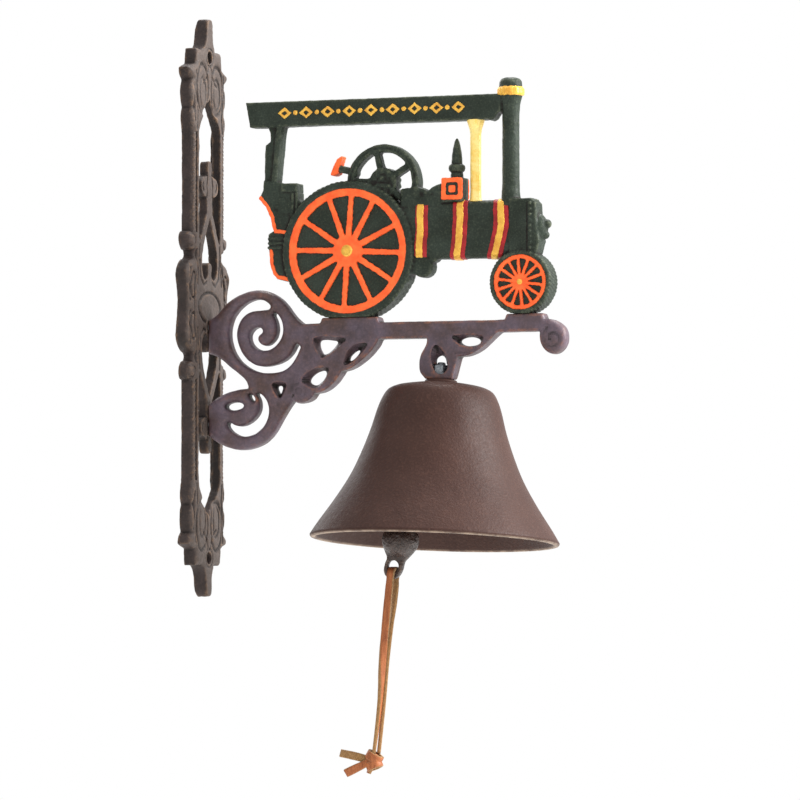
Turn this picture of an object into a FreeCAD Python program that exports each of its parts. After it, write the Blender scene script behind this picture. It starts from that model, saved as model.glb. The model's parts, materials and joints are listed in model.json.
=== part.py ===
"""Wall mounted bell: cast back plate, scroll bracket with a traction engine on top, bell, clapper and thong.

Frame: +X out from the wall along the bracket, +Z up, origin in the middle of the back plate's back face.
"""
import FreeCAD, Part
import math
import os

V = FreeCAD.Vector
LABELS = []

doc = FreeCAD.newDocument("wall_mounted_bell")
sheet = doc.addObject("Spreadsheet::Sheet", "dims")

# ---------------------------------------------------------------- driving dimensions, millimetres and degrees
DIMENSIONS = {
    # back plate
    "plate_half_height": 155.0,
    "plate_thick": 8.0,
    "rail_half": 21.5,
    "window_half": 14.7,
    "medallion_half": 29.8,
    "wall_hole_span": 268.8,
    "wall_hole_dia": 6.6,
    # bracket arm
    "arm_thick": 10.0,
    "bar_top": -10.2,
    "bar_under": -19.0,
    "nose_under": -16.6,
    "foot_top": -7.0,
    # screws that hold the arm to the plate
    "upper_screw_height": -11.0,
    "lower_screw_height": -63.0,
    "screw_dia": 4.9,
    "screw_head_dia": 9.0,
    "screw_length": 14.8,
    "clearance_hole_dia": 5.4,
    "tapped_hole_dia": 5.0,
    "tapped_hole_end": 15.6,
    # traction engine
    "rear_wheel_along": 89.0,
    "rear_wheel_height": 28.0,
    "rear_wheel_radius": 37.3,
    "rear_ring_radius": 29.0,
    "rear_hub_radius": 8.5,
    "front_wheel_along": 185.7,
    "front_wheel_height": 9.3,
    "front_wheel_radius": 17.1,
    "front_ring_radius": 12.4,
    "front_hub_radius": 3.6,
    "wheel_thick": 13.6,
    "spoke_relief": 1.5,
    "pad_top": -7.2,
    "body_thick": 9.0,
    "boiler_top": 53.0,
    "boiler_under": 22.5,
    "boiler_thick": 11.5,
    "boiler_back": 118.0,
    "boiler_front": 195.0,
    "chest_back": 120.0,
    "chest_front": 141.0,
    "chest_top": 61.5,
    "governor_back": 141.5,
    "governor_front": 153.6,
    "governor_top": 65.3,
    "valve_along": 149.0,
    "valve_foot": 64.5,
    "valve_tall": 21.5,
    "valve_foot_radius": 3.3,
    "valve_tip_radius": 1.0,
    "valve_collar_radius": 4.4,
    "valve_collar_under": 68.5,
    "valve_collar_top": 72.5,
    "door_knob_radius": 3.0,
    "door_knob_front": 200.4,
    "door_knob_height": 38.0,
    "ash_pan_radius": 6.6,
    "ash_pan_along": 132.0,
    "ash_pan_height": 19.0,
    "front_post_back": 156.6,
    "front_post_front": 161.8,
    "front_post_half": 3.2,
    "canopy_under": 95.5,
    "canopy_top": 109.0,
    "canopy_back": 30.5,
    "canopy_front": 174.5,
    "funnel_along": 178.7,
    "funnel_radius": 4.6,
    "funnel_cap_radius": 6.9,
    "funnel_ring_top": 112.6,
    "funnel_top": 117.5,
    "flywheel_along": 108.0,
    "flywheel_height": 64.0,
    "flywheel_radius": 20.5,
    "flywheel_rim": 4.0,
    "flywheel_hub_radius": 7.5,
    "flywheel_spoke_reach": 18.0,
    "flywheel_spoke_wide": 3.4,
    "flywheel_spoke_thick": 7.0,
    # bell and what hangs it
    "bell_along": 139.5,
    "bell_seat": -41.3,
    "bell_lean_in": 1.03,
    "bell_lean_side": -3.92,
    "bell_height": 85.4,
    "bell_mouth_radius": 65.8,
    "bell_wall": 3.5,
    "crown_thick": 4.5,
    "bell_bore_dia": 5.4,
    "bolt_dia": 4.9,
    "bolt_above_seat": 9.4,
    "lug_wall": 2.8,
    "washer_thick": 1.0,
    "washer_dia": 9.2,
    "nut_across_flats": 8.0,
    "nut_thick": 4.0,
    "eye_radius": 4.2,
    "eye_wire": 1.3,
    "eye_depth": 10.4,
    "bolt_collar_radius": 3.6,
    "bolt_collar_thick": 1.4,
    # clapper and its link
    "link_radius": 4.6,
    "link_wire": 1.1,
    "link_top_gap": 0.5,
    "clapper_lean": 19.2,
    "clapper_reach": 66.9,
    "clapper_ball_radius": 9.8,
    "clapper_eye_radius": 4.0,
    "clapper_eye_wire": 1.3,
    "tail_bend": -4.0,
    "tail_reach": 14.3,
    "tail_thick": 3.8,
    "tail_half_width": 5.0,
    "tail_hole_radius": 3.2,
    # leather thong
    "thong_tube_dia": 2.4,
    "lace_width": 4.6,
    "lace_thick": 2.2,
}

for row, (alias, number) in enumerate(DIMENSIONS.items(), start=1):
    sheet.set(f"A{row}", alias)
    sheet.set(f"B{row}", str(number))
    sheet.setAlias(f"B{row}", alias)
doc.recompute()


def dim(alias):
    """Value of one spreadsheet cell."""
    return float(getattr(sheet, alias))


def bind(obj, links):
    """Tie properties of an object to spreadsheet expressions; aliases are written bare."""
    for prop, expression in links.items():
        for alias in sorted(DIMENSIONS, key=len, reverse=True):
            expression = expression.replace(f"<{alias}>", f"dims.{alias}")
        obj.setExpression(prop, expression)


def sub_part(obj, label):
    """Register a finished object as one physical piece."""
    obj.Label = label
    LABELS.append(label)
    return obj


# ---------------------------------------------------------------- helpers: sketches and pads
def plane_of(body, role):
    for feature in body.Origin.OriginFeatures:
        if feature.Role == role:
            return feature
    raise ValueError(role)


def edges_of(runs):
    """Edges of an outline: a run of two points is a line, a longer run is a smooth curve."""
    edges = []
    for run in runs:
        points = [V(u, w, 0) for u, w in run]
        if len(points) == 2:
            edges.append(Part.LineSegment(points[0], points[1]))
        else:
            curve = Part.BSplineCurve()
            curve.interpolate(Points=points)
            edges.append(curve)
    return edges


def loop(points):
    """Edges of one smooth closed curve through the points."""
    curve = Part.BSplineCurve()
    curve.interpolate(Points=[V(u, w, 0) for u, w in points], PeriodicFlag=True)
    return [curve]


def polygon(points):
    """Runs of straight lines round a closed polygon."""
    return [[points[i], points[(i + 1) % len(points)]] for i in range(len(points))]


def sketch(body, name, role, geometry):
    drawing = body.newObject("Sketcher::SketchObject", name)
    drawing.AttachmentSupport = (plane_of(body, role), [""])
    drawing.MapMode = "FlatFace"
    drawing.addGeometry(geometry, False)
    return drawing


def pad(body, name, drawing, length, midplane=True):
    feature = body.newObject("PartDesign::Pad", name)
    feature.Profile = drawing
    feature.Midplane = midplane
    bind(feature, {"Length": length})
    doc.recompute()
    return feature


def pocket(body, name, drawing, length):
    feature = body.newObject("PartDesign::Pocket", name)
    feature.Profile = drawing
    feature.Midplane = True
    bind(feature, {"Length": length})
    doc.recompute()
    return feature


def ellipse(centre, half_long, half_short, turn):
    """Edges of an ellipse whose long axis is turned from the first sketch axis by an angle in degrees."""
    c, s = math.cos(math.radians(turn)), math.sin(math.radians(turn))
    middle = V(centre[0], centre[1], 0)
    end = middle + V(c, s, 0) * half_long
    side = middle + V(-s, c, 0) * half_short
    return [Part.Ellipse(end, side, middle)]


def box(name, low, high):
    """Part::Box from expressions for its low and high corners."""
    solid = doc.addObject("Part::Box", name)
    links = {}
    for axis, prop, lo, hi in zip("xyz", ("Length", "Width", "Height"), low, high):
        links[prop] = f"({hi}) - ({lo})"
        links[f".Placement.Base.{axis}"] = lo
    bind(solid, links)
    return solid


def cylinder_across(name, radius, thick, along, height):
    """Cylinder with its axis along Y, centred on the bracket's middle plane."""
    solid = doc.addObject("Part::Cylinder", name)
    solid.Placement.Rotation = FreeCAD.Rotation(V(1, 0, 0), -90)
    bind(solid, {
        "Radius": radius,
        "Height": thick,
        ".Placement.Base.x": along,
        ".Placement.Base.y": f"-({thick}) / 2",
        ".Placement.Base.z": height,
    })
    return solid


def cylinder_up(name, radius, low, high, along):
    solid = doc.addObject("Part::Cylinder", name)
    bind(solid, {
        "Radius": radius,
        "Height": f"({high}) - ({low})",
        ".Placement.Base.x": along,
        ".Placement.Base.z": low,
    })
    return solid


def cylinder_out(name, radius, low, high, height):
    """Cylinder with its axis along X, out from the wall."""
    solid = doc.addObject("Part::Cylinder", name)
    solid.Placement.Rotation = FreeCAD.Rotation(V(0, 1, 0), 90)
    bind(solid, {
        "Radius": radius,
        "Height": f"({high}) - ({low})",
        ".Placement.Base.x": low,
        ".Placement.Base.z": height,
    })
    return solid


def fuse(name, shapes):
    joined = doc.addObject("Part::MultiFuse", name)
    joined.Shapes = shapes
    return joined


def cut(name, base, tool):
    result = doc.addObject("Part::Cut", name)
    result.Base = base
    result.Tool = tool
    return result


# ---------------------------------------------------------------- back plate
def mirrored(runs, flip_u, flip_w):
    return [[(u * flip_u, w * flip_w) for u, w in run] for run in runs]


def four_ways(runs):
    return [run for u in (1, -1) for w in (1, -1) for run in mirrored(runs, u, w)]


def two_ways(runs, flip_w):
    return mirrored(runs, 1, flip_w) + mirrored(runs, -1, flip_w)


def make_back_plate():
    """Plate with stepped ends, leaf lobes, open rails, side knobs and a wide medallion."""
    top = dim("plate_half_height")
    rail = dim("rail_half")
    wide = dim("medallion_half")
    quarter = [
        [(0, top), (2.6, top - 0.7), (3.7, top - 4), (4.2, top - 9.5), (6.2, top - 14.5), (9.5, top - 16.7)],
        [(9.5, top - 16.7), (17.0, top - 16.7)],
        [(17.0, top - 16.7), (18.0, top - 25.2)],
        [(18.0, top - 25.2), (26.3, top - 27.8)],
        [(26.3, top - 27.8), (26.1, top - 30), (22.3, top - 34)],
        [(22.3, top - 34), (24.0, top - 40), (23.4, top - 45.5), (21.6, top - 49)],
        [(21.6, top - 49), (23.3, top - 53), (22.9, top - 58), (rail, top - 63)],
        [(rail, top - 63), (rail, 39.5)],
        [(rail, 39.5), (24.8, 38.6), (26.0, 35), (24.6, 31.6), (20.2, 29.6)],
        [(20.2, 29.6), (19.0, 27.4), (21.2, 25)],
        [(21.2, 25), (27.2, 21.8), (wide, 17.4), (29.2, 12), (28.0, 6), (27.4, 0)],
    ]
    side = dim("window_half")
    window = [
        [(0, 112), (4, 108), (9, 102), (13.2, 97), (side, 91)],
        [(side, 91), (side, 37.5)],
        [(side, 37.5), (13.6, 34.4)],
        [(13.6, 34.4), (3.9, 50.5)],
        [(3.9, 50.5), (3.9, 59.6)],
        [(3.9, 59.6), (8.2, 59.8), (11.6, 63.4), (10.2, 68.4), (5.4, 70.2), (2.9, 71.2)],
        [(2.9, 71.2), (2.9, 76)],
        [(2.9, 76), (2.1, 78), (0, 78.6)],
    ]
    arch = [
        [(0, 48), (5.8, 38), (9.7, 28.5), (10.3, 21.5), (8.8, 16.6), (5.9, 14.6), (3.3, 16), (2.5, 19.6)],
        [(2.5, 19.6), (2.3, 22.6), (0, 24)],
    ]
    body = doc.addObject("PartDesign::Body", "PlateBody")
    outline = sketch(body, "PlateOutline", "YZ_Plane", edges_of(four_ways(quarter)))
    pad(body, "PlatePad", outline, "<plate_thick>", midplane=False)
    through = "<plate_thick> * 4"
    for name, runs in (("Window", window), ("Arch", arch)):
        for place, flip in (("Upper", 1), ("Lower", -1)):
            drawing = sketch(body, f"{place}{name}", "YZ_Plane", edges_of(two_ways(runs, flip)))
            pocket(body, f"{place}{name}Cut", drawing, through)
    tools = []
    for name, sign in (("UpperWallHole", 1), ("LowerWallHole", -1)):
        tools.append(cylinder_out(name, "<wall_hole_dia> / 2", "-1", "<plate_thick> + 1",
                                  f"<wall_hole_span> / 2 * {sign}"))
    for name in ("upper", "lower"):
        height = f"<{name}_screw_height>"
        tools.append(cylinder_out(f"{name}_clearance", "<clearance_hole_dia> / 2", "-1",
                                  "<plate_thick> + 1", height))
        sink = doc.addObject("Part::Cone", f"{name}_countersink")
        sink.Placement.Rotation = FreeCAD.Rotation(V(0, 1, 0), 90)
        bind(sink, {
            "Radius1": "<screw_head_dia> / 2 + 0.2",
            "Radius2": "<screw_dia> / 2 + 0.2",
            "Height": "(<screw_head_dia> - <screw_dia>) / 2",
            ".Placement.Base.z": height,
        })
        tools.append(sink)
    plate = cut("PlateDrilled", body, fuse("PlateDrills", tools))
    return sub_part(plate, "back_plate")


# ---------------------------------------------------------------- bracket arm
def make_bracket_arm():
    """Flat scroll casting: big volute, lower scroll, pierced web, bar, bell lug and curled nose."""
    bar = dim("bar_top")
    under = dim("bar_under")
    nose = dim("nose_under")
    foot = dim("foot_top")
    plate = dim("plate_thick")
    pad_top = dim("pad_top")
    seat = dim("bell_seat")
    outline = [
        [(plate, foot), (13, -4), (19, 2), (27, 6.6), (36, 8.5), (44, 6.8), (51, 2.2), (56, -4), (62.5, bar)],
        [(62.5, bar), (72.8, bar)],
        [(72.8, bar), (73.8, pad_top)],
        [(73.8, pad_top), (105.2, pad_top)],
        [(105.2, pad_top), (106.2, bar)],
        [(106.2, bar), (176.6, bar)],
        [(176.6, bar), (177.6, pad_top)],
        [(177.6, pad_top), (197.8, pad_top)],
        [(197.8, pad_top), (199, bar)],
        [(199, bar), (205, -11.6), (209.3, -15.5), (210.4, -20.5), (208.6, -25.8), (203.5, -28.8),
         (198.8, -26.8), (196.3, -22.4), (196, nose)],
        [(196, nose), (173, nose)],
        [(173, nose), (168, -21), (163, -25.2), (157.6, -28), (150.5, -29)],
        [(150.5, -29), (146.6, seat - 1.5)],
        [(146.6, seat - 1.5), (132.4, seat - 1.5)],
        [(132.4, seat - 1.5), (132.4, seat), (129.8, -37.6), (128.9, -33), (129.9, -27.6), (132.8, -22.4),
         (133.2, under)],
        [(133.2, under), (106, under)],
        [(106, under), (103.4, -23.4), (98, -28.9), (91.5, -33.6), (85, -35.6)],
        [(85, -35.6), (82.3, -39.8), (78, -44), (73.6, -46.5), (69.4, -47.2)],
        [(69.4, -47.2), (66.4, -50.8), (61.6, -52.2), (57, -51)],
        [(57, -51), (52.6, -57), (49, -63), (44, -70), (37.6, -74.7), (29, -76.8), (20, -75.6), (13, -72.6),
         (plate, -69)],
        [(plate, -69), (plate, -53)],
        [(plate, -53), (13, -48.8), (20, -45.8), (26, -44.4), (31, -44)],
        [(31, -44), (30.4, -41.2), (27, -37.2), (22, -33.4), (15, -28), (plate, -25)],
        [(plate, -25), (plate, foot)],
    ]
    volute_gap = [
        [(43, 0.6), (36.5, 3.4), (28, 0.4), (22.2, -6), (20.2, -14), (22, -23), (27.4, -30.4), (35, -34.9),
         (44, -36), (52, -34.4), (58, -28.8), (61.4, -22.6)],
        [(61.4, -22.6), (59.6, -20.6), (57, -23.6)],
        [(57, -23.6), (51.6, -29.4), (45, -31.9), (38, -32.2), (30.4, -28.6), (25.8, -22), (24.4, -14),
         (26.6, -7.4), (31.2, -3.6), (37, -2.4), (42, -2)],
        [(42, -2), (43.6, -0.8), (43, 0.6)],
    ]
    eye_gap = [
        [(46.2, -3.4), (50.2, -8.6), (50.8, -14), (48.6, -19.4), (44, -23.2), (38.6, -23.8), (33.6, -21),
         (31.8, -16), (34, -12.4), (38, -11.6)],
        [(38, -11.6), (39.4, -13.4), (37.4, -15.6)],
        [(37.4, -15.6), (37, -19), (40, -21.2), (44, -20), (47, -15.6), (47.2, -10), (45.2, -5)],
        [(45.2, -5), (46.2, -3.4)],
    ]
    crescent = [
        [(37, -46.4), (41, -50), (42.8, -56), (41, -62.6), (36.4, -67.4), (30, -69.6), (23.6, -68.2),
         (19, -64)],
        [(19, -64), (19.4, -62.2), (22, -62.8)],
        [(22, -62.8), (28, -64), (34, -60.8), (37.4, -55.6), (37.2, -50), (35.6, -47.2)],
        [(35.6, -47.2), (37, -46.4)],
    ]
    holes = {
        "VoluteGap": edges_of(volute_gap),
        "EyeGap": edges_of(eye_gap),
        "Crescent": edges_of(crescent),
        "ScrollEye": ellipse((23.2, -53.4), 5.2, 2.2, 3),
        "ScrollDot": ellipse((33.2, -49), 2.4, 1.2, -50),
        "WebTriangle": edges_of(polygon([(71.5, -18.6), (84.6, -18.6), (74.6, -27)])),
        "WebWedge": edges_of(polygon([(46.6, -42.4), (52, -42.4), (48.6, -48.4)])),
        "WebSlot": ellipse((92.2, -27), 6.2, 2, 41),
        "WebOval": ellipse((70.6, -38.4), 6.2, 4.3, 38),
        "LeafEye": ellipse((157, -21.4), 6.4, 2.7, 0),
        "LugWindow": loop([(139.4, -24.4), (143, -28), (144.3, -32.6), (142.4, -36.9), (139.4, -38.2),
                           (136.4, -36.9), (134.7, -32.6), (135.8, -28)]),
    }
    body = doc.addObject("PartDesign::Body", "ArmBody")
    profile = sketch(body, "ArmOutline", "XZ_Plane", edges_of(outline))
    pad(body, "ArmPad", profile, "<arm_thick>")
    for name, geometry in holes.items():
        drawing = sketch(body, name, "XZ_Plane", geometry)
        pocket(body, f"{name}Cut", drawing, "<arm_thick> * 2")

    tools = [seat_frame(tool) for tool in (seat_clearance(), lug_bore(), spot_face())]
    for name in ("upper", "lower"):
        tools.append(cylinder_out(f"{name}_tapped", "<tapped_hole_dia> / 2", "<plate_thick> - 1",
                                  "<tapped_hole_end>", f"<{name}_screw_height>"))
    arm = cut("ArmDrilled", body, fuse("ArmDrills", tools))
    return sub_part(arm, "bracket_arm")


# The bell's seat is slightly out of square: everything on the bell bolt shares this leaning frame, whose
# origin is the middle of the seat and whose Z runs up the bolt.
def seat_frame(obj):
    bind(obj, {
        ".Placement.Base.x": "<bell_along>",
        ".Placement.Base.z": "<bell_seat>",
    })
    obj.setExpression(
        ".Placement.Rotation",
        "create(<<rotation>>; create(<<vector>>; 0; 1; 0); dims.bell_lean_in)"
        " * create(<<rotation>>; create(<<vector>>; 1; 0; 0); dims.bell_lean_side)",
    )
    return obj


def raised(name, radius, low, high):
    """Cylinder about Z between two heights, with its own origin kept at zero for the seat frame."""
    body = doc.addObject("PartDesign::Body", f"{name}Body")
    drawing = sketch(body, f"{name}Circle", "XY_Plane", [Part.Circle(V(0, 0, 0), V(0, 0, 1), radius)])
    drawing.AttachmentOffset = FreeCAD.Placement(V(0, 0, low), FreeCAD.Rotation())
    feature = body.newObject("PartDesign::Pad", f"{name}Pad")
    feature.Profile = drawing
    feature.Length = high - low
    doc.recompute()
    return body


def seat_clearance():
    """Everything below the seat plane of the lug is cleared for the bell's crown."""
    return raised("SeatClearance", 16, -20, 0)


def lug_bore():
    return raised("LugBore", dim("bell_bore_dia") / 2, -1, 8)


def spot_face():
    """Flat floor in the lug's window, for the washer under the nut."""
    return raised("SpotFace", dim("washer_dia") / 2 + 0.2, dim("lug_wall"), dim("lug_wall") + 5.6)


def make_arm_screw(place):
    """Countersunk screw from behind the plate into the arm's foot."""
    height = f"<{place}_screw_height>"
    head = doc.addObject("Part::Cone", f"{place}_head")
    head.Placement.Rotation = FreeCAD.Rotation(V(0, 1, 0), 90)
    bind(head, {
        "Radius1": "<screw_head_dia> / 2",
        "Radius2": "<screw_dia> / 2",
        "Height": "(<screw_head_dia> - <screw_dia>) / 2",
        ".Placement.Base.x": "0.2",
        ".Placement.Base.z": height,
    })
    shank = cylinder_out(f"{place}_shank", "<screw_dia> / 2", "0.2", "<screw_length>", height)
    slot = box(f"{place}_slot", ("0", "-<screw_head_dia>", f"{height} - 0.6"),
               ("1.3", "<screw_head_dia>", f"{height} + 0.6"))
    return sub_part(cut(f"{place}_screw", fuse(f"{place}_blank", [head, shank]), slot), f"arm_screw_{place}")


# ---------------------------------------------------------------- traction engine
def wheel(name, count, along, height, radius, ring, hub, first):
    """Disc wheel with the spokes, ring and hub standing a little proud on both sides."""
    disc = cylinder_across(f"{name}Disc", f"<{radius}>", "<wheel_thick>", f"<{along}>", f"<{height}>")
    core = cylinder_across(f"{name}Core", f"<{radius}> - 0.5", "<wheel_thick> - 2 * <spoke_relief>",
                           f"<{along}>", f"<{height}>")
    well = cylinder_across(f"{name}Well", f"<{ring}>", "<wheel_thick> + 2", f"<{along}>", f"<{height}>")
    nave = cylinder_across(f"{name}Nave", f"<{hub}>", "<wheel_thick>", f"<{along}>", f"<{height}>")
    tyre = cut(f"{name}Tyre", disc, well)
    bars = []
    for i in range(count // 2):
        bar = doc.addObject("Part::Box", f"{name}Spoke{i}")
        turn = FreeCAD.Rotation(V(0, 1, 0), first + 360.0 / count * i)
        long = 2 * dim(ring) + 1
        wide = dim(hub) * 0.32
        deep = dim("wheel_thick")
        bar.Length, bar.Width, bar.Height = long, deep, wide
        corner = turn.multVec(V(-long / 2, -deep / 2, -wide / 2))
        bar.Placement = FreeCAD.Placement(corner + V(dim(along), 0, dim(height)), turn)
        bars.append(bar)
    return [tyre, core, nave] + bars


def profile_pad(name, runs, thick):
    body = doc.addObject("PartDesign::Body", f"{name}Body")
    pad(body, f"{name}Pad", sketch(body, f"{name}Outline", "XZ_Plane", edges_of(runs)), thick)
    return body


def make_traction_engine():
    """Relief casting of a canopied traction engine, the same on both sides."""
    thick = "<body_thick>"
    half = "<body_thick> / 2"
    parts = wheel("Rear", 12, "rear_wheel_along", "rear_wheel_height", "rear_wheel_radius",
                  "rear_ring_radius", "rear_hub_radius", 3)
    parts += wheel("Front", 14, "front_wheel_along", "front_wheel_height", "front_wheel_radius",
                   "front_ring_radius", "front_hub_radius", 7)
    tender = [(40.3, 85.5), (43.9, 87.5), (43.9, 95.8), (50.3, 95.8), (49.4, 65), (59.3, 64.4), (60, 57),
              (66, 50), (66, 14), (54, 12.6), (48, 14), (45.6, 17.5), (43.6, 28), (42.6, 38), (46.3, 40),
              (45, 46.2), (42, 52.4), (37.8, 57.4), (39.8, 66)]
    parts.append(profile_pad("Tender", polygon(tender), thick))
    parts.append(box("Canopy", ("<canopy_back>", f"-{half}", "<canopy_under>"),
                     ("<canopy_front>", half, "<canopy_top>")))
    parts.append(box("Boiler", ("<boiler_back>", "-<boiler_thick> / 2", "<boiler_under>"),
                     ("<boiler_front>", "<boiler_thick> / 2", "<boiler_top>")))
    parts.append(box("ValveChest", ("<chest_back>", f"-{half}", "<boiler_top> - 1"),
                     ("<chest_front>", half, "<chest_top>")))
    parts.append(box("Governor", ("<governor_back>", "-<boiler_thick> / 2", "<boiler_top> - 1"),
                     ("<governor_front>", "<boiler_thick> / 2", "<governor_top>")))
    parts.append(box("FrontPost", ("<front_post_back>", "-<front_post_half>", "<boiler_top> - 1"),
                     ("<front_post_front>", "<front_post_half>", "<canopy_under> + 1")))
    spire = doc.addObject("Part::Cone", "SafetyValve")
    bind(spire, {"Radius1": "<valve_foot_radius>", "Radius2": "<valve_tip_radius>", "Height": "<valve_tall>",
                 ".Placement.Base.x": "<valve_along>", ".Placement.Base.z": "<valve_foot>"})
    parts.append(spire)
    parts.append(cylinder_up("ValveCollar", "<valve_collar_radius>", "<valve_collar_under>",
                             "<valve_collar_top>", "<valve_along>"))
    parts.append(cylinder_up("Funnel", "<funnel_radius>", "<boiler_top> - 1", "<canopy_top>",
                             "<funnel_along>"))
    parts.append(cylinder_up("FunnelRing", "<funnel_cap_radius>", "<canopy_top> - 1.5", "<funnel_ring_top>",
                             "<funnel_along>"))
    parts.append(cylinder_up("FunnelCap", "<funnel_cap_radius> - 0.8", "<funnel_ring_top>", "<funnel_top>",
                             "<funnel_along>"))
    parts.append(cylinder_out("DoorKnob", "<door_knob_radius>", "<boiler_front> - 2", "<door_knob_front>",
                              "<door_knob_height>"))
    parts.append(cylinder_across("AshPan", "<ash_pan_radius>", thick, "<ash_pan_along>", "<ash_pan_height>"))
    rim = cylinder_across("FlyRim", "<flywheel_radius>", "<body_thick>",
                          "<flywheel_along>", "<flywheel_height>")
    bore = cylinder_across("FlyBore", "<flywheel_radius> - <flywheel_rim>", "<body_thick> + 2",
                           "<flywheel_along>", "<flywheel_height>")
    parts.append(cut("Flywheel", rim, bore))
    parts.append(cylinder_across("FlyHub", "<flywheel_hub_radius>", thick,
                                 "<flywheel_along>", "<flywheel_height>"))
    for i in range(5):
        spoke = doc.addObject("Part::Box", f"FlySpoke{i}")
        turn = FreeCAD.Rotation(V(0, 1, 0), -104 + 72 * i)
        bind(spoke, {"Length": "<flywheel_spoke_reach>", "Width": "<flywheel_spoke_thick>",
                     "Height": "<flywheel_spoke_wide>"})
        corner = V(0, -dim("flywheel_spoke_thick") / 2, -dim("flywheel_spoke_wide") / 2)
        axle = V(dim("flywheel_along"), 0, dim("flywheel_height"))
        spoke.Placement = FreeCAD.Placement(axle + turn.multVec(corner), turn)
        parts.append(spoke)
    grip = [(80.2, 69), (82, 68.4), (84.4, 70), (91, 66), (91, 73.4), (85.6, 74), (87.4, 77.4), (86, 78.6),
            (83.4, 77.4), (81, 73.6)]
    parts.append(profile_pad("SteeringWheel", polygon(grip), "<body_thick> - 3"))
    casting = fuse("EngineCasting", parts)
    underside = box("PadClearance", ("40", "-12", "-30"), ("220", "12", "<pad_top>"))
    return sub_part(cut("EngineOnPads", casting, underside), "traction_engine")


# ---------------------------------------------------------------- bell
def make_bell():
    """Bell of revolution in its own frame: seat at the origin, mouth below."""
    wall = dim("bell_wall")
    crown = dim("crown_thick")
    bore = dim("bell_bore_dia") / 2
    mouth = dim("bell_mouth_radius")
    tall = dim("bell_height")
    outer = [(30.6, -10.4), (32.9, -16.5), (35.9, -27.2), (40.4, -39.9), (45.9, -52.5), (53.4, -65.2),
             (mouth - 3.8, -tall + 7.5), (mouth, -tall + 1.4)]
    inner = [(mouth - wall + 0.6, -tall), (mouth - 8.4, -tall + 7.9), (53.4 - wall - 0.8, -65.4),
             (45.9 - wall - 0.4, -52.9), (40.4 - wall - 0.2, -40.4), (35.9 - wall, -27.8), (32.9 - wall, -17),
             (30.6 - wall, -12.8)]
    profile = edges_of([
        [(bore, 0), (8.4, 0)],
        [(8.4, 0), (8.7, -1.1), (12, -1.7), (18, -2.6), (23.6, -3.8), (27.9, -6.1), (30.6, -10.4)],
        outer,
        [outer[-1], (mouth - 0.4, -tall), inner[0]],
        inner,
        [inner[-1], (25.4, -8.6), (20, -crown - 2.4), (12, -crown - 0.8), (7, -crown)],
        [(7, -crown), (bore, -crown)],
        [(bore, -crown), (bore, 0)],
    ])
    body = doc.addObject("PartDesign::Body", "BellBody")
    drawing = sketch(body, "BellProfile", "XZ_Plane", profile)
    turned = body.newObject("PartDesign::Revolution", "BellRevolution")
    turned.Profile = drawing
    turned.ReferenceAxis = (drawing, ["V_Axis"])
    turned.Angle = 360
    doc.recompute()
    return sub_part(seat_frame(body), "bell")


# ---------------------------------------------------------------- bolt, nut and washers of the bell
def torus(name, radius, wire, place):
    ring = doc.addObject("Part::Torus", name)
    bind(ring, {"Radius1": radius, "Radius2": wire})
    ring.Placement = place
    return ring


def make_eye_bolt():
    """Shouldered eye bolt: up through the crown and the lug, its eye hanging inside the bell."""
    shank = cylinder_up("BoltShank", "<bolt_dia> / 2", "-<crown_thick> - <washer_thick>",
                        "<bolt_above_seat>", "0")
    collar = cylinder_up("BoltCollar", "<bolt_collar_radius>",
                         "-<crown_thick> - <washer_thick> - <bolt_collar_thick>",
                         "-<crown_thick> - <washer_thick>", "0")
    lying = FreeCAD.Placement(V(0, 0, -dim("eye_depth")), FreeCAD.Rotation(V(1, 0, 0), 90))
    eye = torus("BoltEye", "<eye_radius>", "<eye_wire>", lying)
    bind(eye, {".Placement.Base.z": "-<eye_depth>"})
    return sub_part(seat_frame(fuse("EyeBolt", [shank, collar, eye])), "hanger_eye_bolt")


def make_washer(name, label, low):
    """Flat washer on the bell bolt; low is the height of its underside above the seat."""
    ring = cylinder_up(f"{name}Ring", "<washer_dia> / 2", low, f"{low} + <washer_thick>", "0")
    bore = cylinder_up(f"{name}Bore", "<bell_bore_dia> / 2", f"{low} - 1", f"{low} + <washer_thick> + 1", "0")
    return sub_part(seat_frame(cut(name, ring, bore)), label)


def make_hex_nut():
    low = "<lug_wall> + <washer_thick>"
    hexagon = doc.addObject("Part::Prism", "NutHexagon")
    hexagon.Polygon = 6
    bind(hexagon, {"Circumradius": "<nut_across_flats> / 1.7320508", "Height": "<nut_thick>",
                   ".Placement.Base.z": low})
    bore = cylinder_up("NutBore", "<tapped_hole_dia> / 2", f"{low} - 1", f"{low} + <nut_thick> + 1", "0")
    return sub_part(seat_frame(cut("HexNut", hexagon, bore)), "hanger_nut")


# ---------------------------------------------------------------- clapper
def on_seat(depth):
    """Point on the bell bolt's axis at a depth below the seat."""
    lean = FreeCAD.Rotation(V(0, 1, 0), dim("bell_lean_in"))
    side = FreeCAD.Rotation(V(1, 0, 0), dim("bell_lean_side"))
    return V(dim("bell_along"), 0, dim("bell_seat")) + lean.multiply(side).multVec(V(0, 0, -depth))


EYE_BOTTOM = on_seat(dim("eye_depth") + dim("eye_radius"))
LINK_TOP_RISE = dim("eye_wire") + dim("link_wire") + dim("link_top_gap")
LINK_CENTRE = EYE_BOTTOM + V(0, 0, LINK_TOP_RISE - dim("link_radius"))
CLAPPER_PIVOT = LINK_CENTRE - V(0, 0, dim("link_radius"))


def make_link():
    """Steel ring standing across the bracket; it hangs in the bolt's eye and carries the clapper."""
    across = FreeCAD.Placement(LINK_CENTRE, FreeCAD.Rotation(V(0, 1, 0), 90))
    return sub_part(torus("LinkRing", "<link_radius>", "<link_wire>", across), "clapper_link")


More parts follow.
